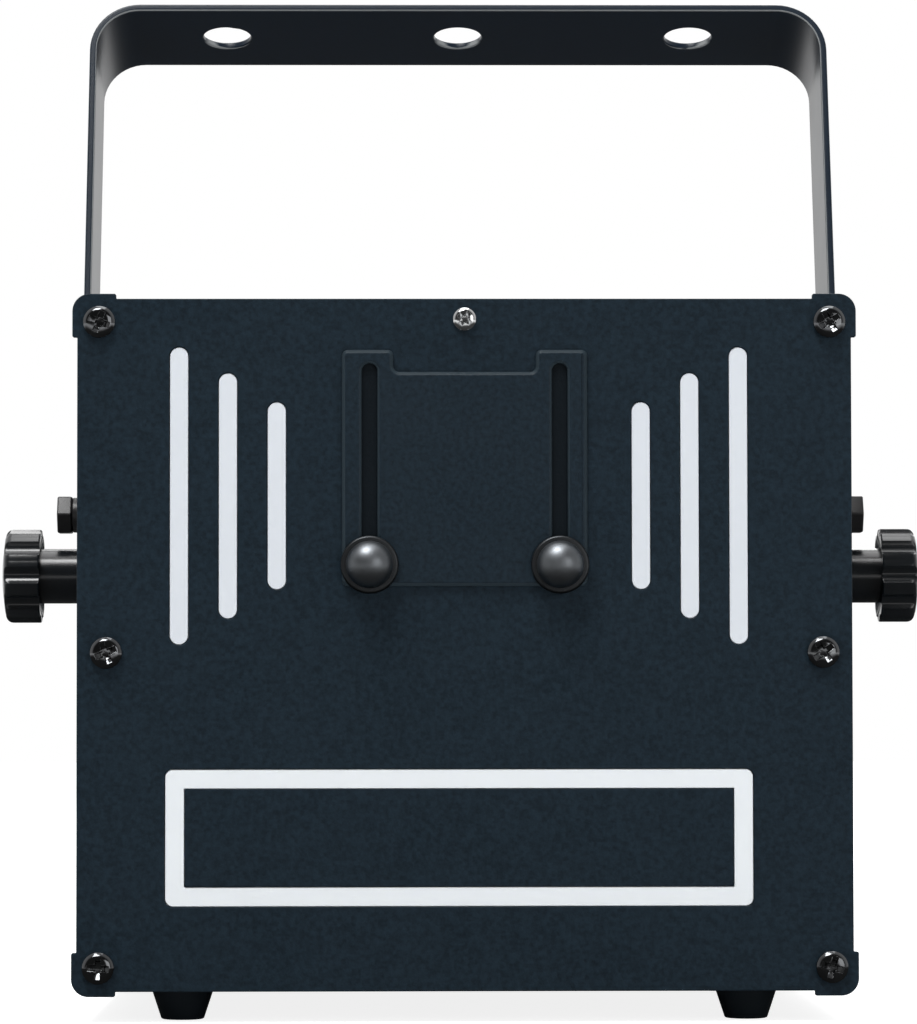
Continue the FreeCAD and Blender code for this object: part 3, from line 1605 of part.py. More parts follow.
def ilda_connector():
    """D-shaped control connector with two rows of contact holes."""
    face = rear_face + ilda_flange_sheet
    end = face + ilda_shell_reach
    flange = prism("y", rectangle(ilda_x, ilda_z, ilda_flange_width, ilda_flange_height), rear_face, face)
    shell = prism("y", ilda_outline(0), rear_inside - ilda_body_depth, end)
    cuts = []
    for row, count in ((1, ilda_long_row_count), (-1, ilda_long_row_count - 1)):
        start = ilda_x - (count - 1) * ilda_hole_pitch / 2
        for index in range(count):
            cuts.append(rod("y", start + index * ilda_hole_pitch, ilda_z + row * ilda_row_gap / 2,
                            ilda_hole_diameter, end - ilda_hole_depth, end + overrun))
    cuts += [rod("y", ilda_x + side * jack_spacing / 2, ilda_z, jack_bore, rear_face - overrun,
                 face + overrun) for side in SIDES]
    return joined([flange, shell]).cut(cuts)


def ilda_jack_screws():
    """Hexagonal screw posts at each end of the laser control connector."""
    low = rear_face + ilda_flange_sheet
    high = low + jack_length
    solids = []
    for side in SIDES:
        x = ilda_x + side * jack_spacing / 2
        post = prism("y", hexagon(x, ilda_z, jack_flats, 0), low, high)
        shank = rod("y", x, ilda_z, jack_bore - 2 * seat_gap, rear_inside - jack_length, low)
        bore = rod("y", x, ilda_z, jack_bore, high - jack_bore_depth, high + overrun)
        solids.append(joined([post, shank]).cut(bore))
    return solids


def key_switch_body():
    """Key switch housing with a round bezel and the bore of its barrel."""
    top = rear_face + key_bezel_height
    back = rear_inside - key_body_depth
    bore = key_barrel_diameter / 2 + seat_gap
    bottom = top + key_barrel_reach - key_barrel_depth
    return turned("y", key_x, key_z, [
        (0, back, 0),
        (key_body_diameter / 2, back, 0),
        (key_body_diameter / 2, rear_face, 0),
        (key_bezel_diameter / 2, rear_face, 0),
        (key_bezel_diameter / 2, top, key_bezel_radius),
        (bore, top, 0),
        (bore, bottom - slide_gap, 0),
        (0, bottom - slide_gap, 0),
    ])


def key_barrel():
    """Turning barrel of the key switch, with its keyway."""
    top = rear_face + key_bezel_height + key_barrel_reach
    barrel = rod("y", key_x, key_z, key_barrel_diameter, top - key_barrel_depth, top)
    keyway = prism("y", slot(key_x, key_z, key_slot_width, key_slot_length), top - key_slot_depth,
                   top + overrun)
    return barrel.cut(keyway)


def display_window():
    """Dark display window, stepped so that it sits in the rear panel from inside."""
    face = prism("y", rectangle(display_x, display_z, display_width, display_height, display_radius),
                 rear_inside, rear_face + display_proud)
    lap_width, lap_height = display_width + 2 * display_lap, display_height + 2 * display_lap
    section = rectangle(display_x, display_z, lap_width, lap_height)
    lap = prism("y", section, rear_inside - display_lap_sheet, rear_inside)
    return joined([face, lap])


def button_places():
    """Centres of the menu buttons, in a row."""
    start = button_x - (button_count - 1) * button_pitch / 2
    return [(start + index * button_pitch, button_z) for index in range(button_count)]


def menu_button(place):
    """Push-button cap, kept in by a flange behind the rear panel."""
    flange_top = rear_inside - slide_gap
    flange_bottom = flange_top - button_flange_sheet
    top = rear_face + button_reach
    return turned("y", *place, [
        (0, flange_bottom, 0),
        (button_flange_diameter / 2, flange_bottom, 0),
        (button_flange_diameter / 2, flange_top, 0),
        (button_diameter / 2, flange_top, 0),
        (button_diameter / 2, top, button_crown_radius),
        (0, top, 0),
    ])


def control_board():
    """Control board on posts behind the rear panel, with the display's box, switches and chips."""
    left, right = control_left, control_left + control_width
    high = control_bottom + control_height
    front = control_back - board_thickness
    solids = [block(left, right, front, control_back, control_bottom, high)]
    inset = control_post_inset
    solids += [rod("y", x, z, control_post_diameter, control_back, rear_inside)
               for x in (left + inset, right - inset) for z in (control_bottom + inset, high - inset)]
    solids.append(prism("y", rectangle(display_x, display_z, display_width, display_height), control_back,
                        rear_inside - display_lap_sheet))
    tact_top = rear_inside - slide_gap - button_flange_sheet - button_travel - slide_gap
    solids += [prism("y", rectangle(x, z, tact_size, tact_size), control_back, tact_top)
               for x, z in button_places()]
    chip_z = (control_bottom + button_z) / 2
    solids.append(prism("y", rectangle((left + right) / 2, chip_z, control_chip_size, control_chip_size),
                        front - control_chip_height, front))
    return solids


def nodes():
    """Every node's name with its solid or solids."""
    parts = {
        maker.__name__: maker() for maker in (
            front_panel, cover, base_tray, rear_panel, front_panel_screws, front_top_screw, clinch_nuts,
            case_screws, slot_diffusers, frame_diffuser, name_plate, led_boards, led_chips, aperture_glass,
            glass_retainer, shutter_nuts, shutter_plate, rubber_feet, foot_screws, friction_washers,
            pivot_nut_plates, tilt_limit_bolts, yoke_bracket, optical_plate, plate_standoffs, galvo_mount,
            galvo_motors, galvo_x_mirror, galvo_y_mirror, laser_block, laser_diodes, laser_heatsink,
            dichroic_holders, dichroic_mirrors, power_supply, galvo_driver_board, fan_frame, fan_rotor,
            fan_guard, power_inlet, socket_pins, rocker_frame, rocker, dmx_in_socket, dmx_out_socket,
            dmx_out_insert, ilda_connector, ilda_jack_screws, key_switch_body, key_barrel, display_window,
            control_board,
        )
    }
    for side, word in zip(SIDES, ("left", "right")):
        parts["thumbscrew_" + word] = thumbscrew(side)
        parts["knob_" + word] = knob(side)
    for index, place in enumerate(button_places()):
        parts["menu_button_" + str(index + 1)] = menu_button(place)
    return parts


def main():
    """Write one STEP file for each node."""
    os.makedirs("parts", exist_ok=True)
    for name, made in nodes().items():
        solids = made if isinstance(made, list) else [made]
        solids = [solid for shape in solids for solid in shape.Solids]
        shape = solids[0] if len(solids) == 1 else Part.makeCompound(solids)
        shape.exportStep("parts/" + name + ".step")
        print(name, len(solids), "solids,", round(shape.Volume), "mm3, valid:", shape.isValid())


if __name__ == "__main__":
    main()
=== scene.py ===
"""Looks of a laser show projector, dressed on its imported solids. Metres, +Z up, front towards -Y."""
import json
import logging
import math
from collections.abc import Callable, Sequence
from dataclasses import dataclass
from enum import Enum
from functools import cache
from typing import Any

import bmesh
import bpy
from mathutils import Euler, Matrix, Vector

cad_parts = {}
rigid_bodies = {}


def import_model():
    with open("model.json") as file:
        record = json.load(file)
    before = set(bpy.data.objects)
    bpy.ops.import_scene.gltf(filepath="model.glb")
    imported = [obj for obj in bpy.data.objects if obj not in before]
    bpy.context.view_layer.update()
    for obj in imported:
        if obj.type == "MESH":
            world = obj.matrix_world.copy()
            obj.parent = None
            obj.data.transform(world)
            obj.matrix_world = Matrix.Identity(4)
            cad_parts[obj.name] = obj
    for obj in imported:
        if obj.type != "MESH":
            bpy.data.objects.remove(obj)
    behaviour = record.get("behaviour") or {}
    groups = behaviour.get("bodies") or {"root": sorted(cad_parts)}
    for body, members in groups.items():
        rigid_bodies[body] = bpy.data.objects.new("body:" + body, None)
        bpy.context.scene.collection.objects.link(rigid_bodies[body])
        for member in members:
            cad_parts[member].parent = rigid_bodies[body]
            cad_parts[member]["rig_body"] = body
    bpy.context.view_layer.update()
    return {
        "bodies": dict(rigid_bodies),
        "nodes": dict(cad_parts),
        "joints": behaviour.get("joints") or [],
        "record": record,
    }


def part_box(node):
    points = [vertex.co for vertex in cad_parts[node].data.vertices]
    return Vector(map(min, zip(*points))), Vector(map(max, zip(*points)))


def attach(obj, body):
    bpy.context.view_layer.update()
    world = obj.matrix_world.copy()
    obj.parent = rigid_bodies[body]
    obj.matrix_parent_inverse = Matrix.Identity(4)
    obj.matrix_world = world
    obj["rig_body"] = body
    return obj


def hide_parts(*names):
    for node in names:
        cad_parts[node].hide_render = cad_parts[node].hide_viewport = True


LOG = logging.getLogger("projector")
MM = 0.001
X, Y, Z = range(3)
WHITE = (1, 1, 1, 1)

# Limits within which points are merged, faces count as flat and edges count as sharp.
MERGE = 0.001 * MM
FLAT_ANGLE = math.radians(0.3)
SHARP_ANGLE = math.radians(28)
FLAT_WEIGHT = 100

# Points round a turned shape, and steps in a rounded corner of its line and in a rounded edge.
TURNS = 96
SMALL_TURNS = 64
STUD_TURNS = 48
ARC_STEPS = 8
EDGE_STEPS = 2

# Values that a noise mostly keeps to, and the octaves of its kinds.
NOISE_SPAN = (0.3, 0.7)
CLOUD_DETAIL = 4.0
GRAIN_DETAIL = 3.0
LINE_DETAIL = 1.0

# Wire guard: its legs, and points round a ring, a loop and the wire.
GUARD_LEGS = 4
RING_STEPS = 72
LOOP_STEPS = 32
WIRE_STEPS = 12

# Pan head of unit width and height: its line, the rings of its recess (height, then shares of the
# drive's length and width), the recess's arms and the rounding of its edges.
HEAD_LINE = ((0, 0, 0), (0.5, 0, 0), (0.5, 0.55, 0.14), (0.37, 0.93, 0.3), (0, 1, 0))
RECESS_RINGS = ((0.3, 0.2, 0.4), (0.45, 0.3, 0.45), (1.2, 0.62, 0.62))
RECESS_ARMS = 4
HEAD_EDGE = 0.012

Colour = tuple[float, float, float]
Corner = tuple[float, float, float]
Spot = tuple[float, float]
Box = tuple[Vector, Vector]
Socket = bpy.types.NodeSocket
Shape = bmesh.types.BMesh
Piece = bpy.types.Object


class Facing(Enum):
    """Directions that a piece can point in."""

    FRONT = (0.0, -1.0, 0.0)
    BACK = (0.0, 1.0, 0.0)
    LEFT = (-1.0, 0.0, 0.0)
    RIGHT = (1.0, 0.0, 0.0)
    UP = (0.0, 0.0, 1.0)

    def turn(self) -> Matrix:
        """Rotation that takes +Z to this direction."""
        return Vector((0, 0, 1)).rotation_difference(Vector(self.value)).to_matrix().to_4x4()


class Drive(Enum):
    """Recesses in a screw's head, as arm length and width in shares of the head."""

    CROSS = (0.72, 0.17)
    SMALL_CROSS = (0.66, 0.19)


Seat = tuple[Vector, Facing]


class NodeWriter:
    """Adds nodes to a tree and joins them."""

    def __init__(self, tree: bpy.types.NodeTree) -> None:
        """Keep the tree that is written to."""
        self.tree = tree

    def add(self, kind: str, inputs: dict[Any, Any] | None = None, **settings: Any) -> bpy.types.Node:
        """Add a node.

        Args:
            kind: Type name of the node.
            inputs: Values or outputs for its inputs, by name or index.
            settings: Properties of the node.

        Returns:
            The new node.
        """
        node = self.tree.nodes.new(kind)
        for name, value in settings.items():
            setattr(node, name, value)
        self.put(node, inputs or {})
        return node

    def put(self, node: bpy.types.Node, inputs: dict[Any, Any]) -> None:
        """Give a node's inputs their values, or join them to outputs.

        Args:
            node: The node.
            inputs: Plain values or outputs, by the input's name or index.
        """
        for key, value in inputs.items():
            if isinstance(value, Socket):
                self.tree.links.new(value, node.inputs[key])
            else:
                node.inputs[key].default_value = value

    def first(self, kind: str, inputs: dict[Any, Any] | None = None, **settings: Any) -> Socket:
        """First output of a new node."""
        return self.add(kind, inputs, **settings).outputs[0]

    def math(self, operation: str, *values: Any) -> Socket:
        """Result of a math node on numbers or outputs."""
        return self.first("ShaderNodeMath", dict(enumerate(values)), operation=operation)

    def parts(self, vector: Socket) -> Sequence[Socket]:
        """X, Y and Z of a vector."""
        return self.add("ShaderNodeSeparateXYZ", {0: vector}).outputs

    def vector(self, x: Any = 0.0, y: Any = 0.0, z: Any = 0.0) -> Socket:
        """Vector of three numbers or outputs."""
        return self.first("ShaderNodeCombineXYZ", {0: x, 1: y, 2: z})

    def mixed(self, share: Socket, first: Any, second: Any) -> Socket:
        """Number between two numbers or outputs, which are a mix node's inputs 2 and 3."""
        return self.first("ShaderNodeMix", {0: share, 2: first, 3: second})

    def ranged(self, value: Socket, span: Spot, low: float = 0.0, high: float = 1.0) -> Socket:
        """Value held to a span and stretched to run from low to high."""
        inputs = {"Value": value, "From Min": span[0], "From Max": span[1], "To Min": low, "To Max": high}
        return self.first("ShaderNodeMapRange", inputs)


class Surface(NodeWriter):
    """Node tree of one material, on Object coordinates."""

    def __init__(self, name: str) -> None:
        """Start a material.

        Args:
            name: Name of the material.
        """
        self.material = bpy.data.materials.new(name)
        self.material.use_nodes = True
        super().__init__(self.material.node_tree)
        self.shader = self.tree.nodes["Principled BSDF"]
        coordinates = self.add("ShaderNodeTexCoord").outputs
        self.place = coordinates["Object"]
        self.normal = coordinates["Normal"]

    def shade(self, inputs: dict[str, Any]) -> None:
        """Give the shader's inputs their values or outputs."""
        self.put(self.shader, inputs)

    def noise(self, size: float, detail: float, place: Socket | None = None) -> Socket:
        """Noise from 0 to 1, with lumps of one size and octaves of finer ones."""
        inputs = {"Vector": place or self.place, "Scale": 1 / size, "Detail": detail}
        return self.first("ShaderNodeTexNoise", inputs)

    def spread(self, noise: Socket, low: float, high: float) -> Socket:
        """Noise stretched to run from low to high."""
        return self.ranged(noise, NOISE_SPAN, low, high)

    def tinted(self, share: Socket, first: Any, second: Any) -> Socket:
        """Colour between two colours.

        Args:
            share: Share of the second colour.
            first: Colour or output at 0.
            second: Colour or output at 1.

        Returns:
            The mixed colour.
        """
        ends = [given if isinstance(given, Socket) else (*given, 1.0) for given in (first, second)]
        # The mix node's colours are its inputs 6 and 7 and its output 2.
        node = self.add("ShaderNodeMix", {0: share, 6: ends[0], 7: ends[1]}, data_type="RGBA")
        return node.outputs[2]


def scaled(colour: Colour, share: float) -> Colour:
    """Colour made lighter or darker by a share."""
    return tuple(channel * share for channel in colour)


@dataclass(frozen=True)
class Finish:
    """Plain finish: a colour that drifts a little, with a fine grain."""

    name: str
    colour: Colour
    roughness: float
    specular: float = 0.5
    metal: float = 0.0
    drift: float = 0.08
    drift_size: float = 18 * MM
    grain: float = 0.5 * MM
    depth: float = 0.01 * MM
    gloss_drift: float = 0.06

    def build(self) -> bpy.types.Material:
        """Make the finish's material.

        Returns:
            The material.
        """
        surface = Surface(self.name)
        cloud = surface.noise(self.drift_size, CLOUD_DETAIL)
        grain = surface.noise(self.grain, GRAIN_DETAIL, self.grain_place(surface))
        tones = [scaled(self.colour, 1 + side * self.drift) for side in (-1, 1)]
        gloss = [self.roughness + side * self.gloss_drift for side in (-1, 1)]
        surface.shade({
            "Base Color": self.detailed(surface, surface.tinted(cloud, *tones), grain),
            "Metallic": self.metal,
            "Roughness": surface.spread(cloud, *gloss),
            "Specular IOR Level": self.specular,
            "Normal": surface.first("ShaderNodeBump", {"Height": grain, "Distance": self.depth}),
            **self.extras(),
        })
        return surface.material

    def grain_place(self, surface: Surface) -> Socket:
        """Coordinates that the grain follows."""
        return surface.place

    def detailed(self, surface: Surface, colour: Socket, grain: Socket) -> Socket:
        """Colour with the finish's own pattern; a plain finish has none."""
        return colour

    def extras(self) -> dict[str, Any]:
        """Shader inputs that only this kind of finish sets; a plain finish sets none."""
        return {}


@dataclass(frozen=True)
class PowderCoat(Finish):
    """Baked powder coat with a pebbled skin."""

    drift: float = 0.12
    grain: float = 1.2 * MM
    depth: float = 0.11 * MM
    fleck_and_crest_light: float = 0.7
    lit_crest_share: float = 2.0

    def detailed(self, surface: Surface, colour: Socket, grain: Socket) -> Socket:
        """Colour with the crests of the pebbles painted lighter, a speckle that is also a painted highlight
        on the crests.
        """
        # The bump's crests are painted lighter: a speckle and a painted highlight on the raised pebbles.
        lit_crests = surface.spread(grain, 0.0, self.fleck_and_crest_light)
        return surface.tinted(lit_crests, colour, scaled(self.colour, self.lit_crest_share))


@dataclass(frozen=True)
class PaintedLightCoat(PowderCoat):
    """Powder coat with painted light in another colour: painted shade on some coats, a painted highlight on
    others.
    """

    painted_light_colour: Colour = (0.0, 0.0, 0.0)

    def detailed(self, surface: Surface, colour: Socket, grain: Socket) -> Socket:
        """Colour with its crests painted lighter, and the coat's painted light on it."""
        crest_lit = super().detailed(surface, colour, grain)
        return surface.tinted(self.painted_light_share(surface), crest_lit, self.painted_light_colour)

    def painted_light_share(self, surface: Surface) -> Socket:
        """Share of the painted light's colour at each point, which each kind of coat gives."""
        raise NotImplementedError


@dataclass(frozen=True)
class SlotShadowCoat(PaintedLightCoat):
    """Powder coat with two strips of painted shade, where the slots of a plate that slides over it show the
    panel.
    """

    shadow_strip_place: Spot = (24.55 * MM, 142.65 * MM)
    shadow_strip_half: Spot = (2.1 * MM, 27.2 * MM)

    def painted_light_share(self, surface: Surface) -> Socket:
        """Two upright strips of painted shade.

        Args:
            surface: The material that is written.

        Returns:
            1 on the strips, else 0.
        """
        across, _, up = surface.parts(surface.place)
        ways = (surface.math("ABSOLUTE", across), up)
        within = []
        for way, middle, half in zip(ways, self.shadow_strip_place, self.shadow_strip_half):
            away = surface.math("ABSOLUTE", surface.math("SUBTRACT", way, middle))
            within.append(surface.math("LESS_THAN", away, half))
        return surface.math("MULTIPLY", *within)


@dataclass(frozen=True)
class BevelHighlightCoat(PaintedLightCoat):
    """Powder coat with a painted highlight on the bevels round a plate that faces along Y."""

    bevel_tilt: Spot = (0.95, 0.78)

    def painted_light_share(self, surface: Surface) -> Socket:
        """Bevels, where the surface turns away from Y."""
        tilt = surface.math("ABSOLUTE", surface.parts(surface.normal)[Y])
        return surface.ranged(tilt, self.bevel_tilt)


@dataclass(frozen=True)
class BarHighlightCoat(PaintedLightCoat):
    """Powder coat with a painted highlight on the front edges inside a bent bar."""

    inner_tilt: Spot = (-0.1, -0.35)
    front_tilt: Spot = (-0.4, -0.6)

    def painted_light_share(self, surface: Surface) -> Socket:
        """Edges that face both inwards and to the front.

        Args:
            surface: The material that is written.

        Returns:
            1 on the edges, fading to 0 beside them.
        """
        across, ahead, up = surface.parts(surface.normal)
        side = surface.math("SIGN", surface.parts(surface.place)[X])
        inner = surface.ranged(surface.math("MULTIPLY_ADD", across, side, up), self.inner_tilt)
        return surface.math("MULTIPLY", inner, surface.ranged(ahead, self.front_tilt))


@dataclass(frozen=True)
class BrushedMetal(Finish):
    """Plated or machined metal with fine lines along one axis."""

    metal: float = 1.0
    lines: Corner = (1.0, 1.0, 0.04)

    def grain_place(self, surface: Surface) -> Socket:
        """Coordinates drawn out along the lines."""
        return surface.first("ShaderNodeMapping", {"Vector": surface.place, "Scale": self.lines})


@dataclass(frozen=True)
class ShadedFlangeMetal(Finish):
    """Satin plating, with painted shade on a flange behind the cap."""

    metal: float = 1.0
    cap_back: float = -82.45 * MM
    flange_shade_share: float = 0.25

    def detailed(self, surface: Surface, colour: Socket, grain: Socket) -> Socket:
        """Colour with painted shade darkening the flange."""
        flange = surface.math("GREATER_THAN", surface.parts(surface.place)[Y], self.cap_back)
        return surface.tinted(flange, colour, scaled(self.colour, self.flange_shade_share))


@dataclass(frozen=True)
class OpalAcrylic(Finish):
    """White acrylic that scatters light just under its skin."""

    drift: float = 0.015
    depth: float = 0.003 * MM
    scatter: float = 0.12
    scatter_reach: Corner = (1 * MM, 1 * MM, 1.2 * MM)

    def extras(self) -> dict[str, Any]:
        """Let a little light through the skin."""
        return {"Subsurface Weight": self.scatter, "Subsurface Radius": self.scatter_reach}


@dataclass(frozen=True)
class ClearGlass(Finish):
    """Coated glass that shows what is behind it."""

    index: float = 1.45

    def extras(self) -> dict[str, Any]:
        """Make the glass clear."""
        return {"Transmission Weight": 1.0, "IOR": self.index}


@dataclass(frozen=True)
class CircuitBoard(Finish):
    """Solder mask over copper lines, with rows of tinned pads."""

    pad_pitch: float = 2.54 * MM
    pad_reach: float = 0.22
    pad_colour: Colour = (0.55, 0.52, 0.42)
    line_lump: float = 15.24 * MM
    line_level: float = 0.52
    line_colour: Colour = (0.05, 0.24, 0.12)

    def detailed(self, surface: Surface, colour: Socket, grain: Socket) -> Socket:
        """Colour with copper lines and pads.

        Args:
            surface: The material that is written.
            colour: The drifting colour of the mask.
            grain: Height of the grain, which this pattern leaves out.

        Returns:
            The patterned colour.
        """
        inputs = {"Vector": surface.place, "Scale": 1 / self.pad_pitch, "Randomness": 0.0}
        cells = surface.add("ShaderNodeTexVoronoi", inputs).outputs["Distance"]
        pads = surface.math("LESS_THAN", cells, self.pad_reach)
        lines = surface.math("GREATER_THAN", surface.noise(self.line_lump, LINE_DETAIL), self.line_level)
        return surface.tinted(pads, surface.tinted(lines, colour, self.line_colour), self.pad_colour)


# The panel's coat carries painted shade: two dark strips where the shutter's slots show the panel.
PANEL_COAT = SlotShadowCoat(
    "panel_coat", (0.0070, 0.0143, 0.0215), 0.52, 0.12, painted_light_colour=(0.0035, 0.00715, 0.01075),
)
CASE_COAT = PowderCoat("case_coat", (0.0068, 0.0137, 0.0205), 0.52, 0.14, gloss_drift=0.02)
# The yoke's coat carries a painted highlight in a pale colour on the inner front edges of the bar.
YOKE_COAT = BarHighlightCoat(
    "yoke_coat", (0.0060, 0.0126, 0.0225), 0.31, 0.36, drift=0.08, grain=0.6 * MM, depth=0.006 * MM,
    gloss_drift=0.01, fleck_and_crest_light=0.4, painted_light_colour=(0.28, 0.295, 0.30),
)
# The shutter's coat carries a painted highlight in a lighter colour on the bevels round the plate.
SHUTTER_COAT = BevelHighlightCoat(
    "shutter_coat", (0.0068, 0.0139, 0.0209), 0.44, 0.16, depth=0.09 * MM, painted_light_colour=(0.024, 0.037, 0.047),
)
DARK_STEEL = BrushedMetal("dark_steel", (0.14, 0.145, 0.15), 0.15, grain=0.3 * MM, depth=0.004 * MM)
BRIGHT_STEEL = BrushedMetal("bright_steel", (0.70, 0.71, 0.72), 0.17, grain=0.3 * MM, depth=0.004 * MM)
BOLT_BLACK = Finish("bolt_black", (0.016, 0.016, 0.017), 0.36, 0.45, grain=0.3 * MM, depth=0.006 * MM)
DIFFUSER_WHITE = OpalAcrylic("diffuser_white", (0.72, 0.76, 0.81), 0.42, 0.3)
FRAME_WHITE = OpalAcrylic("frame_white", (0.83, 0.87, 0.90), 0.42, 0.3)
BOARD_WHITE = CircuitBoard("board_white", (0.72, 0.74, 0.74), 0.4, line_colour=(0.62, 0.65, 0.65))
LED_YELLOW = Finish("led_yellow", (0.85, 0.70, 0.16), 0.3, depth=0.005 * MM)
WINDOW_GLASS = ClearGlass("window_glass", (0.92, 0.96, 0.97), 0.07, drift=0.01, depth=0.0005 * MM)
RETAINER_BLACK = Finish("retainer_black", (0.012, 0.012, 0.013), 0.55, 0.3, grain=0.25 * MM)
# The thumbscrews' plating carries painted shade: the flange behind the cap at a quarter of its colour.
THUMB_NICKEL = ShadedFlangeMetal("thumb_nickel", (0.22, 0.235, 0.25), 0.43, grain=0.8 * MM, depth=0.004 * MM)
KNOB_BLACK = Finish("knob_black", (0.007, 0.009, 0.011), 0.22, 0.70, grain=0.3 * MM, depth=0.008 * MM)
RUBBER_BLACK = Finish("rubber_black", (0.008, 0.013, 0.018), 0.72, 0.25, grain=0.35 * MM, depth=0.03 * MM)
DECK_ALUMINIUM = BrushedMetal("deck_aluminium", (0.62, 0.63, 0.64), 0.38, lines=(0.04, 1.0, 1.0))
DIODE_BRASS = BrushedMetal("diode_brass", (0.72, 0.52, 0.22), 0.26, lines=(1.0, 0.04, 1.0))
COATED_GLASS = ClearGlass("coated_glass", (0.72, 0.55, 0.86), 0.06, drift=0.2, drift_size=4 * MM)
SCAN_MIRROR = Finish("scan_mirror", (0.90, 0.91, 0.92), 0.10, metal=1.0, drift=0.02, depth=0.0005 * MM)
CASE_ZINC = BrushedMetal("case_zinc", (0.62, 0.63, 0.63), 0.40, drift=0.15, lines=(1.0, 0.05, 1.0))
BOARD_GREEN = CircuitBoard("board_green", (0.012, 0.12, 0.05), 0.4)
FAN_BLACK = Finish("fan_black", (0.012, 0.012, 0.013), 0.45, 0.4, grain=0.3 * MM)
GUARD_CHROME = BrushedMetal("guard_chrome", (0.70, 0.71, 0.72), 0.18, depth=0.002 * MM)
SOCKET_BLACK = Finish("socket_black", (0.012, 0.012, 0.013), 0.48, 0.4, grain=0.25 * MM)
ROCKER_BLACK = Finish("rocker_black", (0.014, 0.014, 0.015), 0.28, 0.5, grain=0.25 * MM, depth=0.004 * MM)
CONNECTOR_TIN = BrushedMetal("connector_tin", (0.58, 0.59, 0.59), 0.34, lines=(0.05, 1.0, 1.0))
KEY_CHROME = BrushedMetal("key_chrome", (0.68, 0.69, 0.70), 0.16, depth=0.002 * MM)
DISPLAY_DARK = Finish("display_dark", (0.004, 0.006, 0.008), 0.12, 0.5, depth=0.0001 * MM)
BUTTON_GREY = Finish("button_grey", (0.035, 0.038, 0.042), 0.40, 0.45, grain=0.25 * MM)


@cache
def material(finish: Finish) -> bpy.types.Material:
    """Material of a finish, made once."""
    return finish.build()


def piece_of(shape: Shape, name: str) -> Piece:
    """Put a shape in the scene and free it.

    Args:
        shape: The shape, in place.
        name: Name of the piece.

    Returns:
        The new object, at the origin.
    """
    mesh = bpy.data.meshes.new(name)
    shape.to_mesh(mesh)
    shape.free()
    piece = bpy.data.objects.new(name, mesh)
    bpy.context.scene.collection.objects.link(piece)
    return piece


def settle(piece: Piece) -> None:
    """Turn a piece's modifiers into plain mesh.

    Args:
        piece: The piece.
    """
    evaluated = piece.evaluated_get(bpy.context.evaluated_depsgraph_get())
    mesh = bpy.data.meshes.new_from_object(evaluated)
    piece.modifiers.clear()
    old = piece.data
    piece.data = mesh
    bpy.data.meshes.remove(old)
    mesh.name = piece.name


def dress(piece: Piece, finish: Finish) -> None:
    """Give a piece one finish."""
    piece.data.materials.clear()
    piece.data.materials.append(material(finish))


def smooth(piece: Piece) -> None:
    """Shade a piece smooth, apart from its sharp edges."""
    piece.data.shade_smooth()
    piece.data.set_sharp_from_angle(angle=SHARP_ANGLE)


def round_edges(piece: Piece, width: float, steps: int = EDGE_STEPS) -> None:
    """Add a rounding of the sharp edges to a piece.

    Args:
        piece: The piece.
        width: Width of the rounding.
        steps: Steps of the rounding.
    """
    rounding = piece.modifiers.new("rounded edges", "BEVEL")
    rounding.width = width
    rounding.segments = steps
    rounding.limit_method = "ANGLE"
    rounding.angle_limit = SHARP_ANGLE
    rounding.use_clamp_overlap = False


def seated(box: Box, axis: int, value: float) -> Vector:
    """Middle of a box, moved along one axis.

    Args:
        box: Lowest and highest corner.
        axis: The axis.
        value: The place on that axis.

    Returns:
        The moved point.
    """
    place = (box[0] + box[1]) / 2
    place[axis] = value
    return place


def rounded(corners: Sequence[Corner]) -> list[Spot]:
    """Line through corners, with each round corner as an arc.

    Args:
        corners: Across, along and radius of each corner.

    Returns:
        The points of the line.
    """
    points = [corners[0][:2]]
    for before, corner, after in zip(corners, corners[1:], corners[2:]):
        radius = corner[2]
        if radius <= 0:
            points.append(corner[:2])
            continue
        middle = Vector(corner[:2])
        back, ahead = Vector(before[:2]) - middle, Vector(after[:2]) - middle
        half = back.angle(ahead) / 2
        back.normalize()
        ahead.normalize()
        start = middle + back * (radius / math.tan(half))
        end = middle + ahead * (radius / math.tan(half))
        centre = middle + (back + ahead).normalized() * (radius / math.sin(half))
        sweep = (start - centre).angle_signed(end - centre)
        for step in range(ARC_STEPS + 1):
            turn = Matrix.Rotation(-sweep * step / ARC_STEPS, 2)
            points.append(tuple(centre + turn @ (start - centre)))
    points.append(corners[-1][:2])
    return points


def lathe(line: Sequence[Spot], place: Matrix, turns: int = TURNS,
          reach: Callable[[float, float], float] = lambda radius, angle: radius) -> Shape:
    """Turned shape, closed where its line meets the axis.

    Args:
        line: Radius and height of each point, from one end of the axis to the other.
        place: Puts the shape, turned about +Z, where it belongs.
        turns: Points round the axis.
        reach: Gives the radius at an angle where the shape isn't round.

    Returns:
        The shape.
    """
    shape = bmesh.new()
    angles = [math.tau * step / turns for step in range(turns)]
    rings = []
    for radius, height in line:
        if radius < MERGE:
            rings.append([shape.verts.new((0, 0, height))])
            continue
        ring = []
        for angle in angles:
            away = reach(radius, angle)
            ring.append(shape.verts.new((away * math.cos(angle), away * math.sin(angle), height)))
        rings.append(ring)
    bridge(shape, rings, turns)
    bmesh.ops.transform(shape, matrix=place, verts=shape.verts)
    return shape


def bridge(shape: Shape, rings: Sequence[Sequence[bmesh.types.BMVert]], turns: int) -> None:
    """Join rings of points, or single points at the ends, into a closed skin that faces outwards.

    Args:
        shape: The shape that holds the points.
        rings: The rings in order.
        turns: Points in a full ring.
    """
    for first, second in zip(rings, rings[1:]):
        for step in range(turns):
            after = (step + 1) % turns
            corners = [first[step % len(first)], first[after % len(first)],
                       second[after % len(second)], second[step % len(second)]]
            corners = list(dict.fromkeys(corners))
            if len(corners) > 2:
                shape.faces.new(corners)
    bmesh.ops.recalc_face_normals(shape, faces=shape.faces)


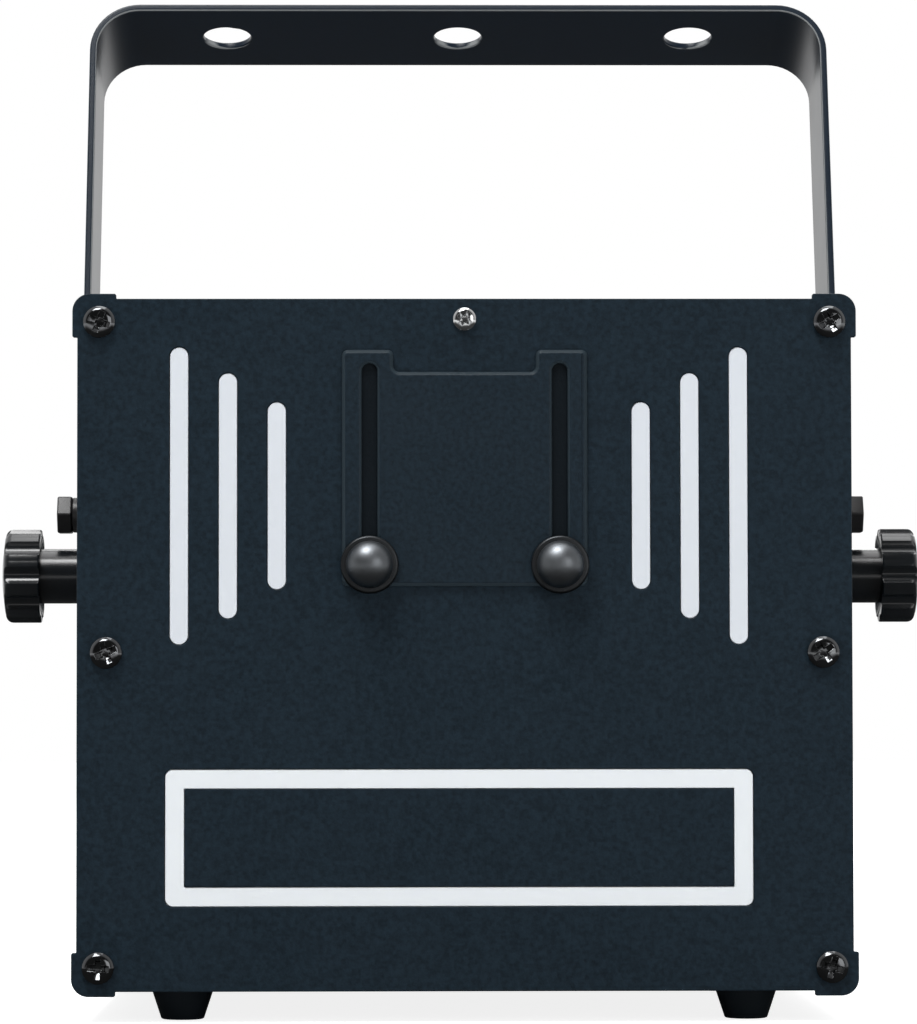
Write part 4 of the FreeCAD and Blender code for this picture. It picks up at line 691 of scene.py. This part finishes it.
def joined(first: Shape, second: Shape) -> Shape:
    """Add one shape to another and free it.

    Args:
        first: The shape that grows.
        second: The shape that is added.

    Returns:
        The first shape.
    """
    mesh = bpy.data.meshes.new("joined")
    second.to_mesh(mesh)
    second.free()
    first.from_mesh(mesh)
    bpy.data.meshes.remove(mesh)
    return first


@dataclass
class Bench:
    """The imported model, with what every sub-assembly needs from it."""

    frame: dict[str, Any]

    def __post_init__(self) -> None:
        """Look up each node's material slot."""
        self.slots = {row["node"]: row["material_slot"] for row in self.frame["record"]["subparts"]}

    def copy_of(self, node: str) -> Shape:
        """Merged copy of a node's solids.

        Args:
            node: Name of the node.

        Returns:
            The copy, with flat faces whole.
        """
        shape = bmesh.new()
        shape.from_mesh(self.frame["nodes"][node].data)
        bmesh.ops.remove_doubles(shape, verts=shape.verts, dist=MERGE)
        bmesh.ops.dissolve_limit(shape, angle_limit=FLAT_ANGLE, verts=shape.verts, edges=shape.edges)
        return shape

    def solids(self, node: str) -> list[Box]:
        """Lowest and highest corner of each solid of a node.

        Args:
            node: Name of the node.

        Returns:
            The corners, one pair for each solid.
        """
        shape = self.copy_of(node)
        left = set(shape.verts)
        boxes = []
        while left:
            group = [left.pop()]
            for vert in group:
                for edge in vert.link_edges:
                    other = edge.other_vert(vert)
                    if other in left:
                        left.remove(other)
                        group.append(other)
            spans = [(min(values), max(values)) for values in zip(*(vert.co for vert in group))]
            boxes.append(tuple(Vector(corner) for corner in zip(*spans)))
        shape.free()
        return sorted(boxes, key=lambda box: tuple(round(value / MM) for value in box[0]))

    def soften(self, node: str, finish: Finish, edge: float, steps: int = EDGE_STEPS) -> None:
        """Let a copy of a node stand for it, with its sharp edges rounded.

        Args:
            node: Name of the node.
            finish: Its finish.
            edge: Width of the rounding.
            steps: Steps of the rounding.
        """
        piece = piece_of(self.copy_of(node), node + "_piece")
        piece.data.shade_smooth()
        round_edges(piece, edge, steps)
        piece.modifiers.new("flat faces", "WEIGHTED_NORMAL").weight = FLAT_WEIGHT
        settle(piece)
        dress(piece, finish)
        self.fit(piece, node)

    def stand(self, shape: Shape, node: str, finish: Finish) -> None:
        """Let a shape of its own stand for a node.

        Args:
            shape: The shape, in place.
            node: Name of the node.
            finish: Its finish.
        """
        piece = piece_of(shape, node + "_piece")
        smooth(piece)
        dress(piece, finish)
        self.fit(piece, node)

    def fit(self, piece: Piece, node: str) -> None:
        """Let a piece stand for a node and ride on its body.

        Args:
            piece: The finished piece.
            node: Name of the node.
        """
        body = self.frame["nodes"][node]["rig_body"]
        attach(piece, body)
        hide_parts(node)
        LOG.info("%s stands for %s on %s", piece.name, node, body)

    def paint(self, node: str, finish: Finish) -> None:
        """Give a node's own solids a finish.

        Args:
            node: Name of the node.
            finish: Its finish.
        """
        for slot in self.frame["nodes"][node].material_slots:
            slot.material = material(finish)
        LOG.info("%s is finished as %s", node, finish.name)


class GeometryTree(NodeWriter):
    """Geometry node tree with named inputs and one material."""

    def __init__(self, name: str, inputs: dict[str, str]) -> None:
        """Start a tree.

        Args:
            name: Name of the tree.
            inputs: Kind of each named input.
        """
        super().__init__(bpy.data.node_groups.new(name, "GeometryNodeTree"))
        self.sockets = {}
        new_socket = self.tree.interface.new_socket
        for label, kind in {"Geometry": "Geometry", **inputs, "Material": "Material"}.items():
            self.sockets[label] = new_socket(label, in_out="INPUT", socket_type="NodeSocket" + kind)
        new_socket("Geometry", in_out="OUTPUT", socket_type="NodeSocketGeometry")
        self.given = self.add("NodeGroupInput").outputs

    def circle(self, radius: Any, steps: int) -> Socket:
        """Circle about +Z, as a curve."""
        return self.first("GeometryNodeCurvePrimitiveCircle", {"Resolution": steps, "Radius": radius})

    def both(self, first: Socket, second: Socket) -> Socket:
        """Two shapes as one.

        Args:
            first: One shape.
            second: The other shape.

        Returns:
            The joined shape.
        """
        node = self.add("GeometryNodeJoinGeometry", {0: first})
        self.put(node, {0: second})
        return node.outputs[0]

    def close(self, shape: Socket) -> None:
        """End the tree with real, dressed geometry.

        Args:
            shape: The geometry to give out.
        """
        real = self.first("GeometryNodeRealizeInstances", {"Geometry": shape})
        inputs = {"Geometry": real, "Material": self.given["Material"]}
        self.add("NodeGroupOutput", {"Geometry": self.first("GeometryNodeSetMaterial", inputs)})

    def grow(self, piece: Piece, finish: Finish, values: dict[str, Any]) -> None:
        """Run the tree on a piece and keep the result as plain mesh.

        Args:
            piece: The piece whose mesh goes in.
            finish: Finish of the result.
            values: Value of each named input.
        """
        modifier = piece.modifiers.new(self.tree.name, "NODES")
        modifier.node_group = self.tree
        for label, value in {**values, "Material": material(finish)}.items():
            modifier[self.sockets[label].identifier] = value
        settle(piece)
        smooth(piece)


@cache
def repeat_tree() -> GeometryTree:
    """Tree that sets one master shape on each point, facing as the point says and turned at random.

    Returns:
        The tree.
    """
    kinds = {"Master": "Object", "Width": "Float", "Height": "Float", "Seed": "Int"}
    tree = GeometryTree("repeat on points", kinds)
    given = tree.given
    facing = tree.first("GeometryNodeInputNamedAttribute", {"Name": "facing"}, data_type="FLOAT_VECTOR")
    aim = tree.first("FunctionNodeAlignRotationToVector", {"Vector": facing}, axis="Z")
    # Of the random node's numbers, input 3 is the largest and output 1 the result.
    chance = tree.add("FunctionNodeRandomValue", {"Seed": given["Seed"], 3: math.tau}, data_type="FLOAT")
    spin = tree.first("FunctionNodeAxisAngleToRotation", {"Axis": (0, 0, 1), "Angle": chance.outputs[1]})
    master = tree.add("GeometryNodeObjectInfo", {"Object": given["Master"], "As Instance": True})
    tree.close(tree.first("GeometryNodeInstanceOnPoints", {
        "Points": given["Geometry"],
        "Instance": master.outputs["Geometry"],
        "Rotation": tree.first("FunctionNodeRotateRotation", {0: aim, 1: spin}, rotation_space="LOCAL"),
        "Scale": tree.vector(given["Width"], given["Width"], given["Height"]),
    }))
    return tree


def repeated(name: str, master: Piece, seats: Sequence[Seat], size: Spot, finish: Finish,
             seed: int) -> Piece:
    """One piece with a master shape on each seat.

    Args:
        name: Name of the piece.
        master: Shape of unit width and height, standing on its origin along +Z.
        seats: Place and facing of each copy.
        size: Width and height of a copy.
        finish: Its finish.
        seed: Seed of the copies' turns.

    Returns:
        The piece.
    """
    points = bmesh.new()
    facing = points.verts.layers.float_vector.new("facing")
    for place, way in seats:
        points.verts.new(place)[facing] = way.value
    piece = piece_of(points, name)
    repeat_tree().grow(piece, finish, {"Master": master, "Width": size[0], "Height": size[1], "Seed": seed})
    return piece


@cache
def guard_tree() -> GeometryTree:
    """Tree that bends a fan guard: rings on legs, each leg ending in a loop.

    Returns:
        The tree.
    """
    tree = GeometryTree("wire guard", {
        "Rings": "Int", "Pitch": "Float", "Wire": "Float", "Loop": "Float", "Corner": "Float",
        "Lift": "Float", "Place": "Vector",
    })
    given = tree.given
    count = tree.first("GeometryNodeInputIndex")
    lift = tree.vector(z=given["Lift"])
    reach = tree.math("MULTIPLY", tree.math("ADD", count, 1.0), given["Pitch"])
    rings = tree.first("GeometryNodeInstanceOnPoints", {
        "Points": tree.first("GeometryNodePoints", {"Count": given["Rings"], "Position": lift}),
        "Instance": tree.circle(1.0, RING_STEPS),
        "Scale": tree.vector(reach, reach, 1.0),
    })
    leg = tree.first("GeometryNodeCurvePrimitiveLine", {
        "Start": tree.vector(given["Pitch"]),
        "End": tree.vector(tree.math("SUBTRACT", given["Corner"], given["Loop"])),
    })
    loop = tree.first("GeometryNodeTransform", {
        "Geometry": tree.circle(given["Loop"], LOOP_STEPS),
        "Translation": tree.vector(given["Corner"]),
    })
    turn = tree.math("MULTIPLY", tree.math("ADD", count, 0.5), math.tau / GUARD_LEGS)
    legs = tree.first("GeometryNodeInstanceOnPoints", {
        "Points": tree.first("GeometryNodePoints", {"Count": GUARD_LEGS}),
        "Instance": tree.both(leg, loop),
        "Rotation": tree.first("FunctionNodeEulerToRotation", {0: tree.vector(z=turn)}),
    })
    wire = tree.first("GeometryNodeCurveToMesh", {
        "Curve": tree.first("GeometryNodeRealizeInstances", {"Geometry": tree.both(rings, legs)}),
        "Profile Curve": tree.circle(given["Wire"], WIRE_STEPS),
        "Fill Caps": True,
    })
    tree.close(tree.first("GeometryNodeTransform", {
        "Geometry": wire, "Translation": given["Place"], "Rotation": (-math.pi / 2, 0, 0),
    }))
    return tree


@cache
def screw_head(drive: Drive) -> Piece:
    """Pan head of unit width and height with a cross recess.

    Args:
        drive: The recess.

    Returns:
        The master object, kept out of the scene.
    """
    head = piece_of(lathe(rounded(HEAD_LINE), Matrix.Identity(4), SMALL_TURNS), "screw_head")
    length, width = drive.value
    cutter = bmesh.new()
    rings = []
    for height, length_share, width_share in RECESS_RINGS:
        reach, half = length_share * length, width_share * width
        ring = []
        for arm in range(RECESS_ARMS):
            turn = Matrix.Rotation(arm * math.tau / RECESS_ARMS, 2)
            for corner in ((half, -half), (reach, -half), (reach, half)):
                ring.append(cutter.verts.new((*(turn @ Vector(corner)), height)))
        rings.append(ring)
    bridge(cutter, rings, len(rings[0]))
    cutter.faces.new(rings[0])
    cutter.faces.new(rings[-1])
    bmesh.ops.recalc_face_normals(cutter, faces=cutter.faces)
    tool = piece_of(cutter, "screw_recess")
    cut = head.modifiers.new("recess", "BOOLEAN")
    cut.object = tool
    cut.solver = "EXACT"
    settle(head)
    bpy.data.objects.remove(tool)
    round_edges(head, HEAD_EDGE)
    settle(head)
    bpy.context.scene.collection.objects.unlink(head)
    return head


@dataclass(frozen=True)
class Lamp:
    """Soft square light."""

    name: str
    place: Corner
    size: float
    power: float

    def hang(self, aim: Corner) -> None:
        """Add the light to the scene.

        Args:
            aim: The point that it is turned to.
        """
        data = bpy.data.lights.new(self.name, "AREA")
        data.shape = "SQUARE"
        data.size = self.size
        data.energy = self.power
        light = bpy.data.objects.new(self.name, data)
        light.location = self.place
        light.rotation_euler = (Vector(aim) - Vector(self.place)).to_track_quat("-Z", "Y").to_euler()
        bpy.context.scene.collection.objects.link(light)


LAMPS = (
    Lamp("key_light", (-0.55, -1.05, 2.35), 1.1, 49.0),
    Lamp("fill_light", (1.5, -2.5, 0.5), 1.6, 13.0),
    Lamp("top_light", (0.2, 0.5, 2.4), 1.6, 16.0),
    Lamp("back_light", (0.6, 2.4, 1.6), 1.6, 26.0),
)


@dataclass
class Stage:
    """Camera, light, floor and white surroundings."""

    eye: Corner = (-17.54 * MM, -1284.96 * MM, 78.24 * MM)
    yaw: float = math.radians(0.756)
    pitch: float = math.radians(2.517)
    roll: float = math.radians(-0.079)
    lens: float = 164.53
    sensor: float = 36.0
    lamp_aim: Corner = (0.0, 0.0, 0.12)
    ambient: float = 0.36
    front_gloss: float = 0.04
    gloss_span: Spot = (-0.6, 0.5)
    floor_size: float = 14.0
    floor_colour: Colour = (0.72, 0.72, 0.72)
    floor_drift: float = 0.01
    floor_lump: float = 0.4
    floor_roughness: float = 0.9
    floor_gloss: float = 0.06
    glow: Spot = (0.85, 0.95)
    glow_reach: Spot = (0.35, 1.6)
    gloss_reach: Spot = (0.50, 1.30)

    def build(self) -> None:
        """Set up everything round the object."""
        self.add_camera()
        self.add_world()
        self.add_floor()
        for lamp in LAMPS:
            lamp.hang(self.lamp_aim)
        bpy.context.scene.view_settings.view_transform = "Standard"

    def add_camera(self) -> None:
        """Put the camera where the photograph was taken."""
        data = bpy.data.cameras.new("camera")
        data.lens = self.lens
        data.sensor_width = self.sensor
        camera = bpy.data.objects.new("camera", data)
        level = Euler((math.pi / 2 + self.pitch, 0, -self.yaw)).to_matrix()
        aim = level @ Matrix.Rotation(self.roll, 3, "Z")
        camera.matrix_world = Matrix.Translation(self.eye) @ aim.to_4x4()
        bpy.context.scene.collection.objects.link(camera)
        bpy.context.scene.camera = camera

    def seen(self, path: Any, writer: NodeWriter) -> Socket:
        """1 for a ray that shows the background itself, from the camera or on through glass, else 0."""
        return writer.math("MAXIMUM", path["Is Camera Ray"], path["Is Transmission Ray"])

    def add_world(self) -> None:
        """Make the surroundings white to the camera, soft for the object and dark in front in its gloss."""
        world = bpy.data.worlds.new("studio")
        bpy.context.scene.world = world
        world.use_nodes = True
        writer = NodeWriter(world.node_tree)
        path = writer.add("ShaderNodeLightPath").outputs
        aim = writer.add("ShaderNodeTexCoord").outputs["Generated"]
        sides = writer.ranged(writer.parts(aim)[Y], self.gloss_span, self.front_gloss, 1.0)
        lit = writer.mixed(path["Is Glossy Ray"], self.ambient, sides)
        strength = writer.mixed(self.seen(path, writer), lit, 1.0)
        writer.put(world.node_tree.nodes["Background"], {"Color": WHITE, "Strength": strength})

    def add_floor(self) -> None:
        """Lay a floor that shows white round the object's shadow and, close by, dark in its gloss."""
        shape = bmesh.new()
        bmesh.ops.create_grid(shape, x_segments=1, y_segments=1, size=self.floor_size / 2)
        floor = piece_of(shape, "floor")
        surface = Surface("floor_white")
        path = surface.add("ShaderNodeLightPath").outputs
        tones = [scaled(self.floor_colour, 1 + side * self.floor_drift) for side in (-1, 1)]
        pale = surface.tinted(surface.noise(self.floor_lump, GRAIN_DETAIL), *tones)
        dark = scaled(self.floor_colour, self.floor_gloss)
        away = surface.add("ShaderNodeVectorMath", {0: surface.place}, operation="LENGTH").outputs["Value"]
        glow = surface.ranged(away, self.glow_reach, *self.glow)
        shown = surface.math("MULTIPLY", self.seen(path, surface), glow)
        gloss = surface.math("MULTIPLY", path["Is Glossy Ray"], surface.ranged(away, self.gloss_reach))
        surface.shade({
            "Base Color": surface.tinted(path["Is Glossy Ray"], pale, dark),
            "Roughness": self.floor_roughness,
            "Specular IOR Level": 0.0,
            "Emission Color": WHITE,
            "Emission Strength": surface.math("ADD", shown, gloss),
        })
        floor.data.materials.append(surface.material)


@dataclass
class Assembly:
    """Pieces that are made and dressed together."""

    bench: Bench

    def build(self) -> None:
        """Make and dress the pieces, which each sub-assembly names."""
        raise NotImplementedError


@dataclass
class FrontPanel(Assembly):
    """Front sheet with its white light inserts, blank plate and screws."""

    edge: float = 0.3 * MM
    edge_steps: int = 3
    insert_edge: float = 0.2 * MM
    screw_seed: int = 7
    top_screw_seed: int = 3

    def build(self) -> None:
        """Make and dress the panel's pieces."""
        self.bench.soften("front_panel", PANEL_COAT, self.edge, self.edge_steps)
        self.bench.soften("name_plate", PANEL_COAT, self.insert_edge)
        self.bench.soften("slot_diffusers", DIFFUSER_WHITE, self.insert_edge)
        self.bench.soften("frame_diffuser", FRAME_WHITE, self.insert_edge)
        self.add_screws("front_panel_screws", DARK_STEEL, Drive.CROSS, self.screw_seed)
        self.add_screws("front_top_screw", BRIGHT_STEEL, Drive.SMALL_CROSS, self.top_screw_seed)
        self.bench.paint("led_boards", BOARD_WHITE)
        self.bench.paint("led_chips", LED_YELLOW)
        self.bench.paint("clinch_nuts", BRIGHT_STEEL)

    def add_screws(self, node: str, finish: Finish, drive: Drive, seed: int) -> None:
        """Stand detailed heads on the panel for a node's screws.

        Args:
            node: Name of the node.
            finish: Finish of the screws.
            drive: Recess in their heads.
            seed: Seed of their turns.
        """
        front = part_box("front_panel")[0].y
        boxes = self.bench.solids(node)
        seats = [(seated(box, Y, front), Facing.FRONT) for box in boxes]
        low, high = boxes[0]
        size = (high.x - low.x, front - low.y)
        self.bench.fit(repeated(node + "_piece", screw_head(drive), seats, size, finish, seed), node)


@dataclass
class Shutter(Assembly):
    """Sliding plate over the beam window, with its two domed thumbscrews."""

    edge: float = 0.3 * MM
    edge_steps: int = 3
    plate_gap: float = 0.1 * MM
    flange_height: float = 1.8 * MM
    flange_edge: float = 0.7 * MM
    neck_radius: float = 5.5 * MM
    neck_height: float = 0.6 * MM
    dome_radius: float = 6.1 * MM
    dome_lip: float = 0.5 * MM
    dome_steps: int = 20
    shank_radius: float = 1.5 * MM

    def build(self) -> None:
        """Make and dress the shutter's pieces."""
        self.bench.soften("shutter_plate", SHUTTER_COAT, self.edge, self.edge_steps)
        self.add_thumbscrew("thumbscrew_left")
        self.add_thumbscrew("thumbscrew_right")
        self.bench.soften("aperture_glass", WINDOW_GLASS, self.edge)
        self.bench.paint("glass_retainer", RETAINER_BLACK)
        self.bench.paint("shutter_nuts", BRIGHT_STEEL)

    def add_thumbscrew(self, node: str) -> None:
        """Turn one thumbscrew.

        Args:
            node: Name of its node.
        """
        low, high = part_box(node)
        flange = (high.x - low.x) / 2
        length = high.y - low.y
        flange_back = high.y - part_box("shutter_plate")[0].y + self.plate_gap
        flange_top = flange_back + self.flange_height
        neck_top = flange_top + self.neck_height
        lip_top = neck_top + self.dome_lip
        line = rounded([
            (0, 0, 0),
            (self.shank_radius, 0, 0),
            (self.shank_radius, flange_back, 0),
            (flange, flange_back, self.flange_edge / 3),
            (flange, flange_top, self.flange_edge),
            (self.neck_radius, flange_top, 0),
            (self.neck_radius, neck_top, 0),
            (self.dome_radius, neck_top, self.dome_lip / 2),
            (self.dome_radius, lip_top, 0),
        ])
        for step in range(1, self.dome_steps + 1):
            angle = math.pi / 2 * step / self.dome_steps
            line.append((self.dome_radius * math.cos(angle), lip_top + (length - lip_top) * math.sin(angle)))
        place = Matrix.Translation(seated((low, high), Y, high.y)) @ Facing.FRONT.turn()
        self.bench.stand(lathe(line, place), node, THUMB_NICKEL)


@dataclass
class Case(Assembly):
    """Cover, tray and rear sheet, with their screws and feet."""

    edge: float = 0.3 * MM
    fan_head: float = 2 * MM
    foot_taper: float = 0.6875
    foot_recess: float = 0.475
    foot_recess_depth: float = 0.44
    foot_rim: float = 0.94
    foot_edge: float = 0.03
    foot_seed: int = 1

    def build(self) -> None:
        """Make and dress the case's pieces."""
        for node in ("cover", "base_tray", "rear_panel"):
            self.bench.soften(node, CASE_COAT, self.edge)
        self.add_screws()
        self.add_feet()
        self.bench.paint("foot_screws", BRIGHT_STEEL)

    def add_screws(self) -> None:
        """Stand detailed heads on the cover's sides, the rear sheet and the fan's guard."""
        left, right = (corner.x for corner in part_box("cover"))
        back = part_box("rear_panel")[1].y
        groups: dict[str, list[Seat]] = {"side": [], "rear": [], "fan": []}
        sizes: dict[str, Spot] = {}
        for low, high in self.bench.solids("case_screws"):
            across, up = high.x - low.x, high.z - low.z
            if low.x < left:
                row = ("side", X, left, Facing.LEFT, (up, left - low.x))
            elif high.x > right:
                row = ("side", X, right, Facing.RIGHT, (up, high.x - right))
            elif high.y - back > across / 2:
                row = ("fan", Y, high.y - self.fan_head, Facing.BACK, (across, self.fan_head))
            else:
                row = ("rear", Y, back, Facing.BACK, (across, high.y - back))
            word, axis, level, way, size = row
            groups[word].append((seated((low, high), axis, level), way))
            sizes[word] = size
        head = screw_head(Drive.SMALL_CROSS)
        for seed, (word, seats) in enumerate(groups.items()):
            piece = repeated(word + "_screws", head, seats, sizes[word], DARK_STEEL, seed)
            self.bench.fit(piece, "case_screws")

    def add_feet(self) -> None:
        """Set a tapered rubber foot under each corner."""
        line = rounded([
            (0, self.foot_recess_depth, 0),
            (self.foot_recess / 2, self.foot_recess_depth, self.foot_edge),
            (self.foot_recess / 2, 0, self.foot_edge),
            (self.foot_taper / 2, 0, 2 * self.foot_edge),
            (0.5, self.foot_rim, self.foot_edge),
            (0.5, 1, 0),
            (0, 1, 0),
        ])
        master = piece_of(lathe(line, Matrix.Identity(4), SMALL_TURNS), "foot_master")
        boxes = self.bench.solids("rubber_feet")
        seats = [(seated(box, Z, box[0].z), Facing.UP) for box in boxes]
        low, high = boxes[0]
        size = (high.x - low.x, high.z - low.z)
        piece = repeated("rubber_feet_piece", master, seats, size, RUBBER_BLACK, self.foot_seed)
        bpy.data.objects.remove(master)
        self.bench.fit(piece, "rubber_feet")


@dataclass
class Yoke(Assembly):
    """Bent hanging bar with its washers, limit bolts and clamp knobs."""

    edge: float = 0.6 * MM
    edge_steps: int = 4
    washer_edge: float = 0.3 * MM
    bolt_edge: float = 0.45 * MM
    hub_radius: float = 7.5 * MM
    hub_length: float = 10.8 * MM
    head_length: float = 10.7 * MM
    dish: float = 1.2 * MM
    rim_edge: float = 0.5 * MM
    crown: float = 1.2 * MM
    crown_edge: float = 2.0 * MM
    stud_radius: float = 4.0 * MM
    flutes: int = 10
    flute_radius: float = 2.4 * MM
    flute_depth: float = 1.5 * MM
    flute_blend: float = 0.8 * MM
    flute_steps: int = 28

    def build(self) -> None:
        """Make and dress the yoke's pieces."""
        self.bench.soften("yoke_bracket", YOKE_COAT, self.edge, self.edge_steps)
        self.bench.soften("friction_washers", RUBBER_BLACK, self.washer_edge)
        self.bench.soften("tilt_limit_bolts", BOLT_BLACK, self.bolt_edge)
        self.bench.paint("pivot_nut_plates", BRIGHT_STEEL)
        self.add_knob("knob_left", Facing.LEFT)
        self.add_knob("knob_right", Facing.RIGHT)

    def fluted(self, radius: float, angle: float, rim: float) -> float:
        """Radius at an angle, where a flute cuts into it.

        Args:
            radius: Radius between the flutes.
            angle: Angle about the knob's axis.
            rim: Radius of the knob's rim.

        Returns:
            The radius after the cut, with the edge blended.
        """
        pitch = math.tau / self.flutes
        away = (angle % pitch) - pitch / 2
        distance = rim + self.flute_radius - self.flute_depth
        aside = distance * math.sin(away)
        reach = max(self.flute_radius ** 2 - aside ** 2, 0.0)
        wall = distance * math.cos(away) - math.sqrt(reach)
        blend = max(self.flute_blend - abs(wall - radius), 0.0)
        return min(wall, radius) - blend ** 2 / self.flute_blend / 4

    def add_knob(self, node: str, facing: Facing) -> None:
        """Mould one clamp knob with its stud.

        Args:
            node: Name of its node.
            facing: The side that its head faces.
        """
        low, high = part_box(node)
        rim = (high.z - low.z) / 2
        shoulder = self.hub_length
        end = shoulder + self.head_length
        valley = (rim - self.flute_depth - self.rim_edge, shoulder + self.dish / 4, 0)
        hub = rounded([
            (0, 0, 0),
            (self.hub_radius, 0, self.rim_edge),
            (self.hub_radius, shoulder + self.dish, self.rim_edge),
            valley,
        ])
        head = rounded([
            valley,
            (rim, shoulder, self.rim_edge),
            (rim, end - self.crown, self.crown_edge),
            (rim / 2, end - self.crown / 4, rim / 4),
            (0, end, 0),
        ])
        root, tip = (low.x, high.x) if facing is Facing.RIGHT else (high.x, low.x)
        start = tip - end * facing.value[X]
        place = Matrix.Translation(seated((low, high), X, start)) @ facing.turn()
        turns = self.flutes * self.flute_steps
        knob = lathe(hub + head[1:], place, turns, lambda radius, angle: self.fluted(radius, angle, rim))
        stud = abs(start - root)
        line = [(0, -stud), (self.stud_radius, -stud), (self.stud_radius, self.rim_edge), (0, self.rim_edge)]
        self.bench.stand(joined(knob, lathe(line, place, STUD_TURNS)), node, KNOB_BLACK)


@dataclass
class Fan(Assembly):
    """Fan behind the rear sheet, with its rotor and wire guard."""

    edge: float = 0.3 * MM
    blade_edge: float = 0.2 * MM
    ring_count: int = 4
    ring_pitch: float = 6.8 * MM
    wire_radius: float = 0.8 * MM
    weld_share: float = 0.8
    loop_radius: float = 2.7 * MM
    hole_spacing: float = 50.0 * MM

    def build(self) -> None:
        """Make and dress the fan's pieces."""
        self.bench.soften("fan_frame", FAN_BLACK, self.edge)
        self.bench.soften("fan_rotor", FAN_BLACK, self.blade_edge)
        self.add_guard()

    def add_guard(self) -> None:
        """Bend the guard's rings, legs and loops from wire."""
        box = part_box("fan_guard")
        piece = piece_of(bmesh.new(), "fan_guard_piece")
        guard_tree().grow(piece, GUARD_CHROME, {
            "Rings": self.ring_count, "Pitch": self.ring_pitch, "Wire": self.wire_radius,
            "Loop": self.loop_radius, "Corner": math.hypot(self.hole_spacing, self.hole_spacing) / 2,
            "Lift": 2 * self.wire_radius * self.weld_share,
            "Place": tuple(seated(box, Y, box[0].y + self.wire_radius)),
        })
        self.bench.fit(piece, "fan_guard")


@dataclass
class RearSockets(Assembly):
    """Inlet, switch, sockets, key, display and buttons on the rear sheet."""

    edge: float = 0.3 * MM
    rocker_steps: int = 3
    fine_edge: float = 0.15 * MM
    screw_size: Spot = (5.4 * MM, 1.6 * MM)
    screw_seed: int = 11
    inlet_screw: Spot = (20.0 * MM, 0.0)
    dmx_screw: Spot = (9.5 * MM, 12.0 * MM)

    def build(self) -> None:
        """Make and dress the sockets' pieces."""
        for node in ("power_inlet", "rocker_frame", "dmx_in_socket", "dmx_out_socket", "dmx_out_insert"):
            self.bench.soften(node, SOCKET_BLACK, self.edge)
        self.bench.soften("rocker", ROCKER_BLACK, self.edge, self.rocker_steps)
        self.bench.soften("socket_pins", DIODE_BRASS, self.edge)
        for node, finish in (
            ("ilda_connector", CONNECTOR_TIN), ("ilda_jack_screws", BRIGHT_STEEL),
            ("key_switch_body", KEY_CHROME), ("key_barrel", KEY_CHROME), ("display_window", DISPLAY_DARK),
            ("menu_button_1", BUTTON_GREY), ("menu_button_2", BUTTON_GREY),
            ("menu_button_3", BUTTON_GREY), ("menu_button_4", BUTTON_GREY),
        ):
            self.bench.soften(node, finish, self.fine_edge)
        self.add_screws()

    def add_screws(self) -> None:
        """Screw down the flanges of the inlet and the control sockets."""
        seats = []
        for node, (across, up) in (
            ("power_inlet", self.inlet_screw),
            ("dmx_in_socket", self.dmx_screw),
            ("dmx_out_socket", self.dmx_screw),
        ):
            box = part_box(node)
            x, y, z = seated(box, Y, box[1].y)
            for side in (-1, 1):
                seats.append((Vector((x + side * across, y, z + side * up)), Facing.BACK))
        head = screw_head(Drive.SMALL_CROSS)
        piece = repeated("flange_screws", head, seats, self.screw_size, DARK_STEEL, self.screw_seed)
        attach(piece, "housing")
        LOG.info("%s ride on housing", piece.name)


@dataclass
class Inside(Assembly):
    """Optics, boards and supply behind the sheets."""

    edge: float = 0.25 * MM

    def build(self) -> None:
        """Dress what is inside, and soften what shows through the beam window."""
        for node, finish in (
            ("galvo_mount", DECK_ALUMINIUM), ("galvo_motors", BRIGHT_STEEL), ("galvo_x_mirror", SCAN_MIRROR),
            ("galvo_y_mirror", SCAN_MIRROR), ("optical_plate", DECK_ALUMINIUM),
        ):
            self.bench.soften(node, finish, self.edge)
        for node, finish in (
            ("plate_standoffs", BRIGHT_STEEL), ("laser_block", DECK_ALUMINIUM),
            ("laser_diodes", DIODE_BRASS), ("laser_heatsink", DECK_ALUMINIUM),
            ("dichroic_holders", DECK_ALUMINIUM), ("dichroic_mirrors", COATED_GLASS),
            ("power_supply", CASE_ZINC), ("galvo_driver_board", BOARD_GREEN), ("control_board", BOARD_GREEN),
        ):
            self.bench.paint(node, finish)


def main() -> None:
    """Dress the projector and set it on its stage."""
    logging.basicConfig(level=logging.INFO, format="%(name)s: %(message)s")
    for item in list(bpy.data.objects):
        bpy.data.objects.remove(item)
    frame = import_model()
    bench = Bench(frame)
    for assembly in (FrontPanel, Shutter, Case, Yoke, Fan, RearSockets, Inside):
        assembly(bench).build()
    Stage().build()


if __name__ == "__main__":
    main()
